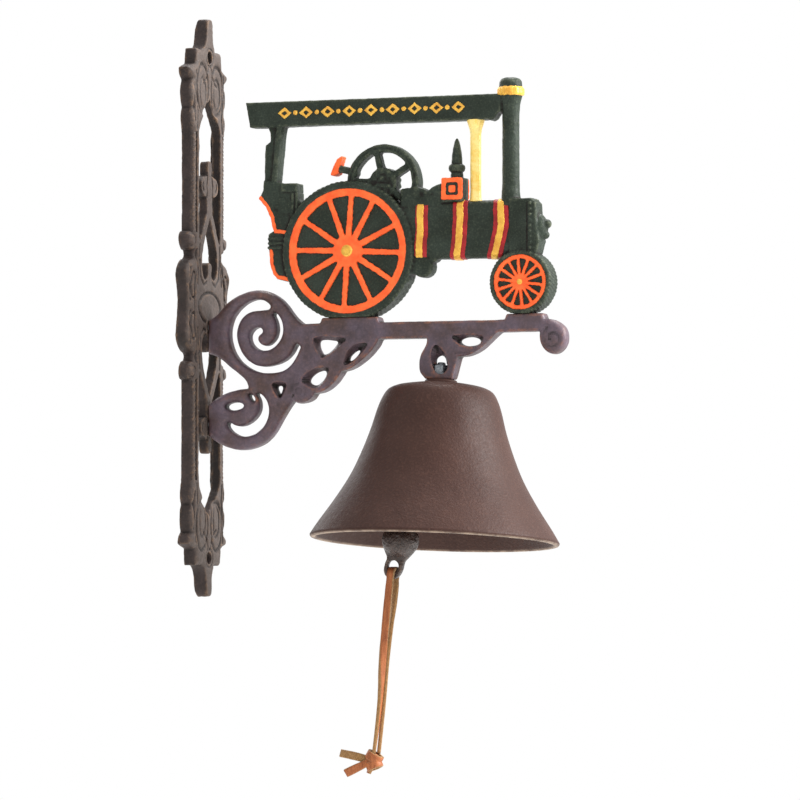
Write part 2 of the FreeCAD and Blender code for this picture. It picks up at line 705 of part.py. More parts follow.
def make_clapper():
    """Cast clapper in its own frame: pivot at the origin, ball below, then a flat tail with a hole."""
    reach = dim("clapper_reach")
    ball = dim("clapper_ball_radius")
    rise = dim("clapper_eye_wire") + dim("link_wire") + dim("link_top_gap")
    ring_drop = dim("clapper_eye_radius") - rise
    ring = torus("ClapperEye", "<clapper_eye_radius>", "<clapper_eye_wire>",
                 FreeCAD.Placement(V(0, 0, -ring_drop), FreeCAD.Rotation(V(1, 0, 0), 90)))
    stem_top = -ring_drop - dim("clapper_eye_radius")
    stem = doc.addObject("Part::Cone", "ClapperStem")
    stem_low = -reach + ball * 0.7
    stem.Radius1, stem.Radius2 = 4.6, 2.2
    stem.Height = stem_top - stem_low
    stem.Placement.Base = V(0, 0, stem_low)
    head = doc.addObject("Part::Sphere", "ClapperBall")
    bind(head, {"Radius": "<clapper_ball_radius>", ".Placement.Base.z": "-<clapper_reach>"})

    half = dim("tail_half_width")
    far = -reach - dim("tail_reach")
    tail_body = doc.addObject("PartDesign::Body", "TailBody")
    flat = edges_of([
        [(4.6, -reach), (4.2, far + 8.2), (half, far + 1), (half, far - 2), (3.2, far - 5.6), (0, far - 6.8),
         (-3.2, far - 5.6), (-half, far - 2), (-half, far + 1), (-4.2, far + 8.2), (-4.6, -reach)],
        [(-4.6, -reach), (4.6, -reach)],
    ])
    pad(tail_body, "TailPad", sketch(tail_body, "TailOutline", "XZ_Plane", flat), "<tail_thick>")
    hole = [Part.Circle(V(0, far, 0), V(0, 0, 1), dim("tail_hole_radius"))]
    pocket(tail_body, "TailHoleCut", sketch(tail_body, "TailHole", "XZ_Plane", hole), "<tail_thick> * 3")
    bend = FreeCAD.Rotation(V(0, 1, 0), dim("tail_bend"))
    tail_body.Placement = FreeCAD.Placement(V(0, 0, 0), bend, V(0, 0, -reach))
    clapper = fuse("ClapperCasting", [ring, stem, head, tail_body])
    clapper.Placement = FreeCAD.Placement(CLAPPER_PIVOT, FreeCAD.Rotation(V(0, 1, 0), dim("clapper_lean")))
    return sub_part(clapper, "clapper")


def tail_hole_centre():
    lean = FreeCAD.Rotation(V(0, 1, 0), dim("clapper_lean"))
    bend = FreeCAD.Rotation(V(0, 1, 0), dim("tail_bend"))
    ball_centre = V(0, 0, -dim("clapper_reach"))
    hole = ball_centre + bend.multVec(V(0, 0, -dim("tail_reach")))
    return CLAPPER_PIVOT + lean.multVec(hole)


# ---------------------------------------------------------------- leather thong
def rounded_path(points, share=0.45):
    """Straight runs joined by tangent arcs; each arc takes the given share of its shorter run."""
    corners = [V(*p) for p in points]
    edges = []
    start = corners[0]
    radii = []
    for before, corner, after in zip(corners, corners[1:], corners[2:]):
        into = (corner - before).normalize()
        out = (after - corner).normalize()
        turn = into.getAngle(out)
        reach = share * min(before.distanceToPoint(corner), corner.distanceToPoint(after))
        radii.append(reach / math.tan(turn / 2))
        enter = corner - into * reach
        leave = corner + out * reach
        middle_way = (out - into).normalize()
        centre_gap = math.hypot(reach, radii[-1])
        middle = corner + middle_way * (centre_gap - radii[-1])
        edges.append(Part.LineSegment(start, enter).toShape())
        edges.append(Part.Arc(enter, middle, leave).toShape())
        start = leave
    edges.append(Part.LineSegment(start, corners[-1]).toShape())
    return Part.Wire(edges), radii


def tube(label, points, share=0.45):
    """Round tube along a rounded path, checked against its section times its length."""
    path, radii = rounded_path(points, share)
    radius = dim("thong_tube_dia") / 2
    direction = V(*points[1]) - V(*points[0])
    circle = Part.Wire([Part.makeCircle(radius, V(*points[0]), direction)])
    solid = path.makePipeShell([circle], True, False)
    ideal = math.pi * radius ** 2 * path.Length
    print(f"{label}: length {path.Length:.1f} mm, volume ratio {solid.Volume / ideal:.3f}, "
          f"radii {[round(r, 1) for r in radii]}")
    node = doc.addObject("Part::Feature", label.title().replace("_", ""))
    node.Shape = solid
    return sub_part(node, label)


# Each strand starts in the middle of the tail's hole, folds down over its edge and runs into the knot.
FRONT_STRAND = [(113.4, -1.0, -140.5), (113.4, -5.3, -140.5), (112.7, -5.0, -147), (111.1, -4.7, -160),
                (108.0, -3.8, -188), (106.6, -3.0, -209), (104.5, -2.7, -226), (102.6, -2.5, -238)]
BACK_STRAND = [(113.4, -1.0, -140.5), (113.4, 3.3, -140.5), (112.7, 3.0, -147), (112.1, 2.7, -159),
               (108.6, 2.1, -187), (107.3, 1.3, -208), (105.5, 0.8, -227), (104.3, 0.6, -238)]


def make_thong():
    """One lace doubled through the clapper's tail: two hanging strands and the knot that ends them."""
    tube("thong_front", FRONT_STRAND)
    tube("thong_back", BACK_STRAND)

    lump = doc.addObject("Part::Box", "KnotLump")
    lump.Length, lump.Width, lump.Height = 8.6, 8.8, 10
    lump.Placement.Base = V(97, -5.5, -247)
    doc.recompute()
    soft = doc.addObject("Part::Fillet", "KnotRounded")
    soft.Base = lump
    soft.Edges = [(i + 1, 2.0, 2.0) for i in range(len(lump.Shape.Edges))]
    tails = []
    for name, root, end in (("KnotTailUpper", (99, -240.8), (83.4, -237.6)),
                            ("KnotTailLower", (100, -243.2), (86.6, -248.6))):
        strip = doc.addObject("Part::Box", name)
        along = V(end[0] - root[0], 0, end[1] - root[1])
        turn = FreeCAD.Rotation(V(1, 0, 0), along)
        strip.Length = along.Length
        bind(strip, {"Width": "<lace_thick>", "Height": "<lace_width>"})
        shift = turn.multVec(V(0, -dim("lace_thick") / 2, -dim("lace_width") / 2))
        strip.Placement = FreeCAD.Placement(V(root[0], -1.6, root[1]) + shift, turn)
        tails.append(strip)
    return sub_part(fuse("Knot", [soft] + tails), "thong_knot")


# ---------------------------------------------------------------- assembly and export
make_back_plate()
make_bracket_arm()
make_traction_engine()
make_arm_screw("upper")
make_arm_screw("lower")
make_bell()
make_eye_bolt()
make_washer("LugWasher", "hanger_washer", "<lug_wall>")
make_washer("CrownWasher", "crown_washer", "-<crown_thick> - <washer_thick>")
make_hex_nut()
make_link()
make_clapper()
make_thong()
doc.recompute()

for item in doc.Objects:
    if "Invalid" in item.State or "Error" in item.State:
        raise RuntimeError(f"{item.Name} failed: {item.State}")

os.makedirs("parts", exist_ok=True)
for label in LABELS:
    piece = doc.getObjectsByLabel(label)[0]
    if piece.Shape.isNull() or not piece.Shape.isValid():
        raise RuntimeError(f"{label} has no valid shape")
    bounds = piece.Shape.BoundBox
    print(f"{label}: solids {len(piece.Shape.Solids)}, volume {piece.Shape.Volume:.0f} mm3, "
          f"x {bounds.XMin:.1f}..{bounds.XMax:.1f}, y {bounds.YMin:.1f}..{bounds.YMax:.1f}, "
          f"z {bounds.ZMin:.1f}..{bounds.ZMax:.1f}")
    piece.Shape.exportStep(f"parts/{label}.step")
print(f"eye bottom {EYE_BOTTOM}, clapper pivot {CLAPPER_PIVOT}, tail hole {tail_hole_centre()}")
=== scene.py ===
"""Looks of the wall mounted bell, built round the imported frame.

Castings are modelled as fields: the signed distance in millimetres to the metal's skin, negative inside,
sampled in a block of space and then meshed. Everything else is swept or turned. Meshes are in metres.
"""
import json
import math

import bpy
import numpy as np
import openvdb
from mathutils import Matrix, Vector


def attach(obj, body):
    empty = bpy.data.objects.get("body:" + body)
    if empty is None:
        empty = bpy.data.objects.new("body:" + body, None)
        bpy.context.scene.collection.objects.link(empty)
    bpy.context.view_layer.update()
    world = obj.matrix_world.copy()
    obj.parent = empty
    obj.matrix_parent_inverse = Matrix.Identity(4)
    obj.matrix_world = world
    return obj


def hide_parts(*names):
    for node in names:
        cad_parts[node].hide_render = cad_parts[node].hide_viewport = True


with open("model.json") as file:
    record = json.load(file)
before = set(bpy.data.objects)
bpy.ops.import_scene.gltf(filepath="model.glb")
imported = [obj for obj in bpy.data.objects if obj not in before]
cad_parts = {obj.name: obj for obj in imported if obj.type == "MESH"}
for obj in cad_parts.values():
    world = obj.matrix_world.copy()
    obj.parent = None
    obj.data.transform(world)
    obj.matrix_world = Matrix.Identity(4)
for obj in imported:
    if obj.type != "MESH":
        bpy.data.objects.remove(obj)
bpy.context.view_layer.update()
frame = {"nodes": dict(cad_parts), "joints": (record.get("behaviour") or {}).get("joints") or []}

MM = 0.001
FLAT = np.float32


def joint(name):
    """Pivot of a joint in millimetres."""
    found = next(j for j in frame["joints"] if j["name"] == name)
    return np.array(found["pos_m"]) / MM


# ---------------------------------------------------------------- camera
CAMERA_PLACE = (1.1116, -2.6839, -0.1783)
CAMERA_FORWARD = (-0.3473, 0.9367, 0.0443)
CAMERA_LENS = 243.75


def make_camera():
    data = bpy.data.cameras.new("camera")
    data.lens = CAMERA_LENS
    data.sensor_width = 36
    data.clip_end = 100
    camera = bpy.data.objects.new("camera", data)
    camera.location = CAMERA_PLACE
    camera.rotation_euler = Vector(CAMERA_FORWARD).to_track_quat("-Z", "Y").to_euler()
    bpy.context.scene.collection.objects.link(camera)
    bpy.context.scene.camera = camera


# ---------------------------------------------------------------- materials
def srgb(code):
    """Linear colour of a hex code such as 'F26A38'."""
    parts = [int(code[i:i + 2], 16) / 255 for i in (0, 2, 4)]
    return [p / 12.92 if p <= 0.04045 else ((p + 0.055) / 1.055) ** 2.4 for p in parts] + [1]


class Shader:
    """A material under construction; its textures are laid out in millimetres of the row frame."""

    def __init__(self, name, roughness=0.5, specular=0.2):
        self.material = bpy.data.materials.new(name)
        self.material.use_nodes = True
        self.tree = self.material.node_tree
        self.surface = self.tree.nodes["Principled BSDF"]
        self.surface.inputs["Roughness"].default_value = roughness
        self.surface.inputs["Specular IOR Level"].default_value = specular
        coordinates = self.node("ShaderNodeTexCoord")
        scaled = self.node("ShaderNodeVectorMath", operation="SCALE")
        scaled.inputs["Scale"].default_value = 1 / MM
        self.link(coordinates.outputs["Object"], scaled.inputs[0])
        self.place = scaled.outputs[0]
        self.relief = None

    def node(self, kind, **settings):
        made = self.tree.nodes.new(kind)
        for key, value in settings.items():
            setattr(made, key, value)
        return made

    def link(self, source, target):
        self.tree.links.new(source, target)

    def feed(self, value, target):
        """Set a socket from a number, a colour or another node's output."""
        if isinstance(value, (int, float, list)):
            target.default_value = value
        else:
            self.link(value, target)

    def noise(self, size, detail=4, roughness=0.55, stretch=(1, 1, 1)):
        """Noise whose features are about size millimetres, from 0 to 1."""
        mapping = self.node("ShaderNodeMapping")
        mapping.inputs["Scale"].default_value = stretch
        self.link(self.place, mapping.inputs["Vector"])
        made = self.node("ShaderNodeTexNoise")
        made.inputs["Scale"].default_value = 1 / size
        made.inputs["Detail"].default_value = detail
        made.inputs["Roughness"].default_value = roughness
        self.link(mapping.outputs[0], made.inputs["Vector"])
        return made.outputs["Fac"]

    def shape(self, name):
        """Relief stored on the mesh: positive where the metal stands out, negative in hollows."""
        return self.node("ShaderNodeAttribute", attribute_name=name).outputs["Fac"]

    def ramp(self, value, low, high, to_low=0, to_high=1):
        """Value rescaled so that low gives to_low and high gives to_high."""
        made = self.node("ShaderNodeMapRange")
        for socket, number in (("From Min", low), ("From Max", high), ("To Min", to_low), ("To Max", to_high)):
            made.inputs[socket].default_value = number
        self.link(value, made.inputs["Value"])
        return made.outputs["Result"]

    def combine(self, first, second, operation="MULTIPLY"):
        made = self.node("ShaderNodeMath", operation=operation)
        made.use_clamp = True
        self.feed(first, made.inputs[0])
        self.feed(second, made.inputs[1])
        return made.outputs[0]

    def mix(self, share, first, second):
        """Colour that goes from first to second as share goes from 0 to 1."""
        made = self.node("ShaderNodeMix", data_type="RGBA")
        self.feed(share, made.inputs["Factor"])
        self.feed(first, made.inputs[6])
        self.feed(second, made.inputs[7])
        return made.outputs[2]

    def colour(self, value):
        self.link(value, self.surface.inputs["Base Color"])

    def roughen(self, value, low, high):
        self.link(self.ramp(value, 0.3, 0.7, low, high), self.surface.inputs["Roughness"])

    def bump(self, value, depth):
        """Relief depth in millimetres; each call adds to the ones before."""
        made = self.node("ShaderNodeBump")
        made.inputs["Distance"].default_value = depth * MM
        self.link(value, made.inputs["Height"])
        if self.relief is not None:
            self.link(self.relief, made.inputs["Normal"])
        self.relief = made.outputs["Normal"]
        self.link(self.relief, self.surface.inputs["Normal"])


def cast_paint(name, base, shade, worn, wear=0.7, dust=0.3, grain=1.0, roughness=(0.45, 0.65), depth=0.2,
               specular=0.2, front=None):
    """Paint over a casting: patchy tone, painted shade in hollows and recesses, worn edges and a granular skin.

    front is a paler tone painted over the faces that look out along X, a painted lit side towards the key light. With
    it, walls that face the middle of the piece are darker than those on its outside: painted shade.
    """
    s = Shader(name, specular=specular)
    tone = s.mix(s.ramp(s.noise(13, 5), 0.36, 0.66), srgb(base), srgb(shade))
    if front:
        normal = s.node("ShaderNodeSeparateXYZ")
        s.link(s.node("ShaderNodeNewGeometry").outputs["Normal"], normal.inputs[0])
        place = s.node("ShaderNodeSeparateXYZ")
        s.link(s.node("ShaderNodeTexCoord").outputs["Object"], place.inputs[0])
        # Faces that look along X, towards the key light, are mixed towards the paler front tone: painted light.
        tone = s.mix(s.ramp(normal.outputs["X"], 0.35, 0.9, 0, 0.9), tone, srgb(front))
        # Walls facing the middle of the piece, found from their normal and place along Y, are darkened: painted shade.
        inward_painted_shade = s.combine(s.ramp(normal.outputs["Y"], -1, 1, 1, -1), place.outputs["Y"])
        tone = s.mix(s.ramp(inward_painted_shade, 0.002, 0.008, 0, 0.7), tone, [0.012, 0.009, 0.008, 1])
    speckle = s.noise(grain, 4, 0.62)
    tone = s.mix(s.ramp(speckle, 0.34, 0.70, 0.28, 0), tone, [0.01, 0.008, 0.007, 1])
    # Concave spots and deep recesses are darkened towards near black: painted shade.
    hollow = s.combine(s.ramp(s.shape("edge"), -0.03, -0.15, 0, 0.75), s.ramp(s.shape("recess"), -0.05, -0.36, 0, 0.75),
                       "ADD")
    tone = s.mix(hollow, tone, [0.012, 0.009, 0.008, 1])
    pale_edge = s.combine(s.ramp(s.shape("edge"), 0.08, 0.26), s.ramp(s.noise(4, 5, 0.65), 0.42, 0.64, 0, wear))
    dusted = s.combine(s.ramp(speckle, 0.52, 0.72, 0, dust), s.ramp(s.shape("edge"), -0.06, 0.14, 0.35, 1))
    s.colour(s.mix(s.combine(pale_edge, dusted, "ADD"), tone, srgb(worn)))
    s.roughen(s.noise(2.2, 3), *roughness)
    s.bump(s.noise(5, 3), depth * 2)
    s.bump(speckle, depth)
    return s.material


def hand_paint(name, base, shade, bare_and_shade, roughness=(0.34, 0.52), chipped=0.35, metallic=0.0):
    """Enamel brushed on by hand over the casting, thin on the high edges, with painted shade in its hollows."""
    s = Shader(name, specular=0.25)
    s.surface.inputs["Metallic"].default_value = metallic
    tone = s.mix(s.ramp(s.noise(5, 5, 0.6), 0.38, 0.66), srgb(base), srgb(shade))
    # Hollows are mixed towards the dark bare colour: painted shade.
    tone = s.mix(s.ramp(s.shape("edge"), -0.04, -0.2, 0, 0.7), tone, srgb(bare_and_shade))
    chips = s.combine(s.ramp(s.noise(1.3, 4, 0.7), 0.60, 0.70), s.ramp(s.shape("edge"), 0.0, 0.25, chipped * 0.5, chipped * 1.6))
    s.colour(s.mix(chips, tone, srgb(bare_and_shade)))
    s.roughen(s.noise(3, 3), *roughness)
    s.bump(s.noise(1.1, 4), 0.14)
    s.bump(s.noise(4, 2), 0.35)
    return s.material


def powder_coat(name, base, shade, fleck, lip, roughness=(0.46, 0.58)):
    """Satin coat with a fine orange-peel skin and a pale painted highlight along the lip."""
    s = Shader(name, specular=0.15)
    tone = s.mix(s.ramp(s.noise(22, 4), 0.3, 0.7), srgb(base), srgb(shade))
    peel = s.noise(1.25, 2.5, 0.5)
    tone = s.mix(s.ramp(peel, 0.5, 0.72, 0, 0.45), tone, srgb(fleck))
    # The lowest band of the lip is mixed towards the pale lip colour, broken by noise: a painted highlight.
    pale_edge = s.combine(s.ramp(s.shape("edge"), 0.35, 1.0), s.ramp(s.noise(6, 4, 0.6), 0.34, 0.6, 0.2, 0.95))
    s.colour(s.mix(pale_edge, tone, srgb(lip)))
    s.roughen(s.noise(1.6, 2), *roughness)
    s.bump(s.noise(16, 2), 0.6)
    s.bump(peel, 0.22)
    return s.material


def plated_steel(name):
    s = Shader(name, specular=0.5)
    s.surface.inputs["Metallic"].default_value = 0.85
    tarnish = s.ramp(s.noise(1.6, 5, 0.65), 0.35, 0.7)
    s.colour(s.mix(tarnish, srgb("969BA0"), srgb("55585C")))
    s.roughen(s.noise(0.9, 3), 0.32, 0.58)
    s.bump(s.noise(0.35, 3), 0.03)
    return s.material


def leather_face():
    """Smooth grain side of the lace: fine pores and stretched streaks."""
    s = Shader("leather_face", specular=0.25)
    streak = s.noise(1.4, 4, 0.6, stretch=(1, 1, 0.16))
    tone = s.mix(s.ramp(streak, 0.32, 0.7), srgb("A9643A"), srgb("7E4326"))
    pores = s.noise(0.35, 2)
    s.colour(s.mix(s.ramp(pores, 0.55, 0.75, 0, 0.5), tone, srgb("C48A5C")))
    s.roughen(streak, 0.42, 0.6)
    s.bump(pores, 0.05)
    s.bump(s.noise(1.2, 3), 0.12)
    return s.material


def leather_suede():
    """Rough back and cut edges of the lace, pale and fibrous."""
    s = Shader("leather_suede", specular=0.1)
    s.surface.inputs["Sheen Weight"].default_value = 0.15
    fibre = s.noise(0.5, 5, 0.7, stretch=(1, 1, 0.35))
    tone = s.mix(s.ramp(fibre, 0.32, 0.68), srgb("A88359"), srgb("745232"))
    s.colour(s.mix(s.ramp(s.noise(4, 3), 0.5, 0.75, 0, 0.5), tone, srgb("9A7444")))
    s.roughen(fibre, 0.75, 0.95)
    s.bump(fibre, 0.16)
    return s.material


# The plate's front colour 544A45 is painted light on the faces looking along X; its walls facing the middle get painted
# shade.
PLATE_BRONZE = cast_paint("plate_bronze", "3F3533", "2D2624", "8A6C52", wear=0.45, dust=0.1, grain=1.1, depth=0.26,
                          front="544A45")
ARM_PLUM = cast_paint("arm_plum", "62545F", "54413F", "95624A", wear=0.8, dust=0.14, grain=1.4,
                      roughness=(0.36, 0.52), depth=0.1, specular=0.3)
ENGINE_GREEN = cast_paint("engine_green", "353E36", "293129", "767A62", wear=0.4, dust=0.26, grain=0.9,
                          roughness=(0.36, 0.52), depth=0.16, specular=0.12)
ENGINE_ORANGE = hand_paint("engine_orange", "FF7036", "F65C28", "9A4220", chipped=0.2)
ENGINE_GOLD = hand_paint("engine_gold", "EEBC50", "D6993E", "80581F", roughness=(0.24, 0.4), chipped=0.35, metallic=0.3)
ENGINE_RED = hand_paint("engine_red", "A82428", "84181C", "3A1010", chipped=0.3)
# Paler copy of the gold paint for the canopy post: a painted highlight.
POST_GOLD_LIT = hand_paint("post_gold_lit", "FAE290", "F2C860", "B98A3E", roughness=(0.25, 0.42), chipped=0.2, metallic=0.15)
# Its last colour, A08C7A, is the painted highlight along the lip.
BELL_BROWN = powder_coat("bell_brown", "402B25", "382520", "51382F", "A08C7A")
CLAPPER_IRON = cast_paint("clapper_iron", "432F28", "2A1D19", "9A8474", wear=0.4, dust=0.25, grain=1.3,
                          roughness=(0.22, 0.4), depth=0.7, specular=0.45)
STEEL = plated_steel("steel")
LEATHER_FACE = leather_face()
LEATHER_SUEDE = leather_suede()


# ---------------------------------------------------------------- pieces
def add_piece(name, vertices, faces, materials, body, stands_for=(), kinds=None, shapes=None):
    """Make a smooth-shaded mesh from vertices in millimetres and hang it on a body.

    kinds picks each face's material; shapes are named values, one per vertex, kept on the mesh.
    """
    mesh = bpy.data.meshes.new(name)
    mesh.from_pydata((np.asarray(vertices, float) * MM).tolist(), [], faces)
    mesh.update()
    mesh.shade_smooth()
    for material in materials:
        mesh.materials.append(material)
    if kinds is not None:
        mesh.polygons.foreach_set("material_index", kinds)
    for key, values in (shapes or {}).items():
        mesh.attributes.new(key, "FLOAT", "POINT").data.foreach_set("value", np.asarray(values, FLAT))
    made = bpy.data.objects.new(name, mesh)
    bpy.context.scene.collection.objects.link(made)
    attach(made, body)
    if stands_for:
        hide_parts(*stands_for)
    return made


# ---------------------------------------------------------------- cords
# Each strand starts in the middle of the tail's hole, folds down over its edge and runs into the knot.
FRONT_STRAND = [(113.4, -1.0, -140.5), (113.4, -5.3, -140.5), (112.7, -5.0, -147), (111.1, -4.7, -160),
                (108.0, -3.8, -188), (106.6, -3.0, -209), (104.5, -2.7, -226), (102.6, -2.5, -238)]
BACK_STRAND = [(113.4, -1.0, -140.5), (113.4, 3.3, -140.5), (112.7, 3.0, -147), (112.1, 2.7, -159),
               (108.6, 2.1, -187), (107.3, 1.3, -208), (105.5, 0.8, -227), (104.3, 0.6, -238)]
LACE_WIDTH = 4.0
LACE_THICK = 1.9


def spline_points(points, steps=16):
    """Points along the smooth NURBS line whose control points are given."""
    data = bpy.data.curves.new("route", "CURVE")
    data.dimensions = "3D"
    line = data.splines.new("NURBS")
    line.points.add(len(points) - 1)
    for control, place in zip(line.points, points):
        control.co = (*place, 1)
    line.order_u = 3
    line.use_endpoint_u = True
    line.resolution_u = steps
    holder = bpy.data.objects.new("route", data)
    mesh = bpy.data.meshes.new_from_object(holder)
    found = np.array([v.co for v in mesh.vertices])
    bpy.data.objects.remove(holder)
    bpy.data.curves.remove(data)
    bpy.data.meshes.remove(mesh)
    return found


def lace_section(width, thick):
    """Rounded oblong of a cut lace, first coordinate across the width; the last span is the grain face."""
    w, t = width / 2, thick / 2
    return [(w, -t * 0.55), (w, t * 0.55), (w * 0.9, t), (w * 0.45, t * 1.05), (0, t), (-w * 0.45, t * 1.05),
            (-w * 0.9, t), (-w, t * 0.55), (-w, -t * 0.55), (-w * 0.9, -t), (-w * 0.45, -t), (0, -t * 1.02),
            (w * 0.45, -t), (w * 0.9, -t)]


def lace_mesh(points, facing, twist, width=LACE_WIDTH, thick=LACE_THICK, seed=1):
    """Vertices, faces and face kinds of a lace along points.

    facing is the way its grain face looks at the start and twist turns it along the way, in degrees.
    """
    section = lace_section(width, thick)
    count = len(section)
    points = np.asarray(points, float)
    tangents = np.gradient(points, axis=0)
    tangents /= np.linalg.norm(tangents, axis=1)[:, None]
    travelled = np.concatenate([[0], np.cumsum(np.linalg.norm(np.diff(points, axis=0), axis=1))])
    share = travelled / travelled[-1]
    rng = np.random.default_rng(seed)
    wobble = np.interp(travelled, np.arange(0, travelled[-1] + 6, 3),
                       rng.normal(0, 0.035, len(np.arange(0, travelled[-1] + 6, 3))))
    vertices = []
    normal = np.array(facing, float)
    for i, (place, tangent) in enumerate(zip(points, tangents)):
        normal = normal - tangent * normal.dot(tangent)
        normal /= np.linalg.norm(normal)
        turn = math.radians(np.interp(share[i], *zip(*twist)))
        across = np.cross(tangent, normal)
        out = normal * math.cos(turn) + across * math.sin(turn)
        side = np.cross(tangent, out)
        swell = 1 + wobble[i]
        for a, b in section:
            vertices.append(place + side * a * swell + out * b)
    faces = []
    kinds = []
    for i in range(len(points) - 1):
        for k in range(count):
            a, b = i * count + k, i * count + (k + 1) % count
            faces.append((a, b, b + count, a + count))
            kinds.append(0 if 2 <= k <= 5 else 1)
    for start, flip in ((0, True), ((len(points) - 1) * count, False)):
        cap = [start + k for k in range(count)]
        faces.append(tuple(reversed(cap)) if flip else tuple(cap))
        kinds.append(1)
    return vertices, faces, kinds


def add_lace(name, points, facing, twist, seed, stands_for=(), **sizes):
    vertices, faces, kinds = lace_mesh(points, facing, twist, seed=seed, **sizes)
    return add_piece(name, vertices, faces, [LEATHER_FACE, LEATHER_SUEDE], "thong", stands_for, kinds)


def make_thong():
    """Two strands of one lace and its overhand knot: a core, two turns round the strands and two tails."""
    front_line = spline_points(FRONT_STRAND)
    back_line = spline_points(BACK_STRAND)
    front = add_lace("thong_front_lace", front_line, (0, 0, 1), [(0, 0), (0.1, 0), (0.4, -28), (0.65, -95), (1, -118)],
                     1, ["thong_front"])
    back = add_lace("thong_back_lace", back_line, (0, 0, 1), [(0, 0), (0.1, 16), (0.3, 66), (1, 74)],
                    2, ["thong_back"])
    core = Vector((101.8, -1.2, -241.9))
    block = Block(core - Vector((6, 6, 7)), core + Vector((6, 6, 7)), 0.35)
    lump = np.sqrt(((block.x - core.x) / 3.7) ** 2 + ((block.y - core.y) / 3.4) ** 2
                   + ((block.z - core.z) / 4.4) ** 2) - 1
    knot = [add_casting("knot_core", block, lump * 3.6, LEATHER_FACE, "thong", ["thong_knot"])]
    turns = (
        ("knot_turn_upper", (0.7, 0, 1.9), 30, (3.9, 3.6), 4.8, 3),
        ("knot_turn_lower", (0.6, 0, -2.2), -22, (3.7, 3.5), 4.6, 4),
    )
    for name, shift, tilt, radii, width, seed in turns:
        lean = Matrix.Rotation(math.radians(tilt), 3, "Y")
        arms = []
        for i in range(33):
            angle = 2 * math.pi * i / 32
            arms.append(lean @ Vector((radii[0] * math.cos(angle), radii[1] * math.sin(angle), 0)))
        loop = [core + Vector(shift) + arm for arm in arms]
        knot.append(add_lace(name, loop, arms[0], [(0, 0), (1, 0)], seed, width=width, thick=1.6))
    upper = spline_points([(102.4, -0.6, -242.4), (97.6, -2.2, -240.9), (92, -2.7, -239.4), (83.9, -2.2, -238.0)])
    lower = spline_points([(102.6, -1.8, -241.4), (98.8, -3.7, -243.2), (94.2, -3.7, -245.4), (87.0, -2.4, -248.5)])
    stub = spline_points([(101.2, 0.2, -243.6), (99.9, -0.8, -246.4), (99.2, -1.0, -248.6)])
    knot.append(add_lace("knot_tail_upper", upper, (0.2, -1, 0), [(0, 170), (1, 192)], 5, width=4.2, thick=1.9))
    knot.append(add_lace("knot_tail_lower", lower, (0.2, -1, 0), [(0, 8), (1, -12)], 6, width=4.3, thick=1.9))
    knot.append(add_lace("knot_stub", stub, (0.2, -1, 0), [(0, 30), (1, 60)], 7, width=2.8, thick=1.6))


# ---------------------------------------------------------------- fields
class Block:
    """An evenly sampled block of space: x, y and z are its coordinates, in millimetres."""

    def __init__(self, low, high, pitch):
        self.low = np.array(low, float)
        self.pitch = pitch
        counts = np.ceil((np.array(high) - self.low) / pitch).astype(int) + 1
        self.shape = tuple(counts)
        axes = [(self.low[i] + pitch * np.arange(counts[i])).astype(FLAT) for i in range(3)]
        self.x, self.y, self.z = np.meshgrid(*axes, indexing="ij", sparse=True)

    def rough(self, cell, amount, seed):
        """Smooth random relief of about cell millimetres, up to amount high."""
        rng = np.random.default_rng(seed)
        coarse = [max(2, int(n * self.pitch / cell) + 2) for n in self.shape]
        field = rng.uniform(-amount, amount, coarse).astype(FLAT)
        for axis, (fine, few) in enumerate(zip(self.shape, coarse)):
            at = np.linspace(0, few - 1.001, fine)
            left = at.astype(int)
            share = (at - left).astype(FLAT)
            share = share * share * (3 - 2 * share)
            share = share.reshape([-1 if i == axis else 1 for i in range(3)])
            field = np.take(field, left, axis) * (1 - share) + np.take(field, left + 1, axis) * share
        return field


def smooth_union(first, second, soft):
    """Both solids, with a fillet about soft millimetres wide between them."""
    share = np.clip(0.5 + 0.5 * (second - first) / soft, 0, 1)
    return second + (first - second) * share - soft * share * (1 - share)


def smooth_cut(solid, tool, soft):
    return -smooth_union(-solid, tool, soft)


def prism(flat, depth, half, rounding):
    """Solid with a flat outline, depth being the distance from its middle plane; rounding is its edge radius."""
    across = flat + rounding
    over = depth - half + rounding
    return np.minimum(np.maximum(across, over), 0) + np.hypot(np.maximum(across, 0), np.maximum(over, 0)) - rounding


def disc(u, v, centre, radius):
    return np.hypot(u - centre[0], v - centre[1]) - radius


def ring(u, v, centre, inner, outer):
    return np.abs(disc(u, v, centre, (inner + outer) / 2)) - (outer - inner) / 2


def oblong(u, v, low, high):
    """Flat distance to an upright rectangle."""
    du = np.abs(u - (low[0] + high[0]) / 2) - (high[0] - low[0]) / 2
    dv = np.abs(v - (low[1] + high[1]) / 2) - (high[1] - low[1]) / 2
    return np.minimum(np.maximum(du, dv), 0) + np.hypot(np.maximum(du, 0), np.maximum(dv, 0))


def stroke(u, v, points, closed=False):
    """Flat distance to a line through points."""
    points = list(points)
    ends = points[1:] + points[:1] if closed else points[1:]
    best = None
    for (au, av), (bu, bv) in zip(points, ends):
        du, dv = bu - au, bv - av
        t = np.clip(((u - au) * du + (v - av) * dv) / max(du * du + dv * dv, 1e-9), 0, 1)
        distance = (u - au - t * du) ** 2 + (v - av - t * dv) ** 2
        best = distance if best is None else np.minimum(best, distance)
    return np.sqrt(best)


def shape(u, v, *loops):
    """Signed flat distance to an outline given as closed loops, holes included."""
    distance = None
    inside = np.zeros(np.broadcast(u, v).shape, bool)
    for points in loops:
        reach = stroke(u, v, points, closed=True)
        distance = reach if distance is None else np.minimum(distance, reach)
        for (au, av), (bu, bv) in zip(points, list(points[1:]) + [points[0]]):
            if av != bv:
                crosses = (av > v) != (bv > v)
                inside ^= crosses & (u < (bu - au) * (v - av) / (bv - av) + au)
    return np.where(inside, -distance, distance).astype(FLAT)


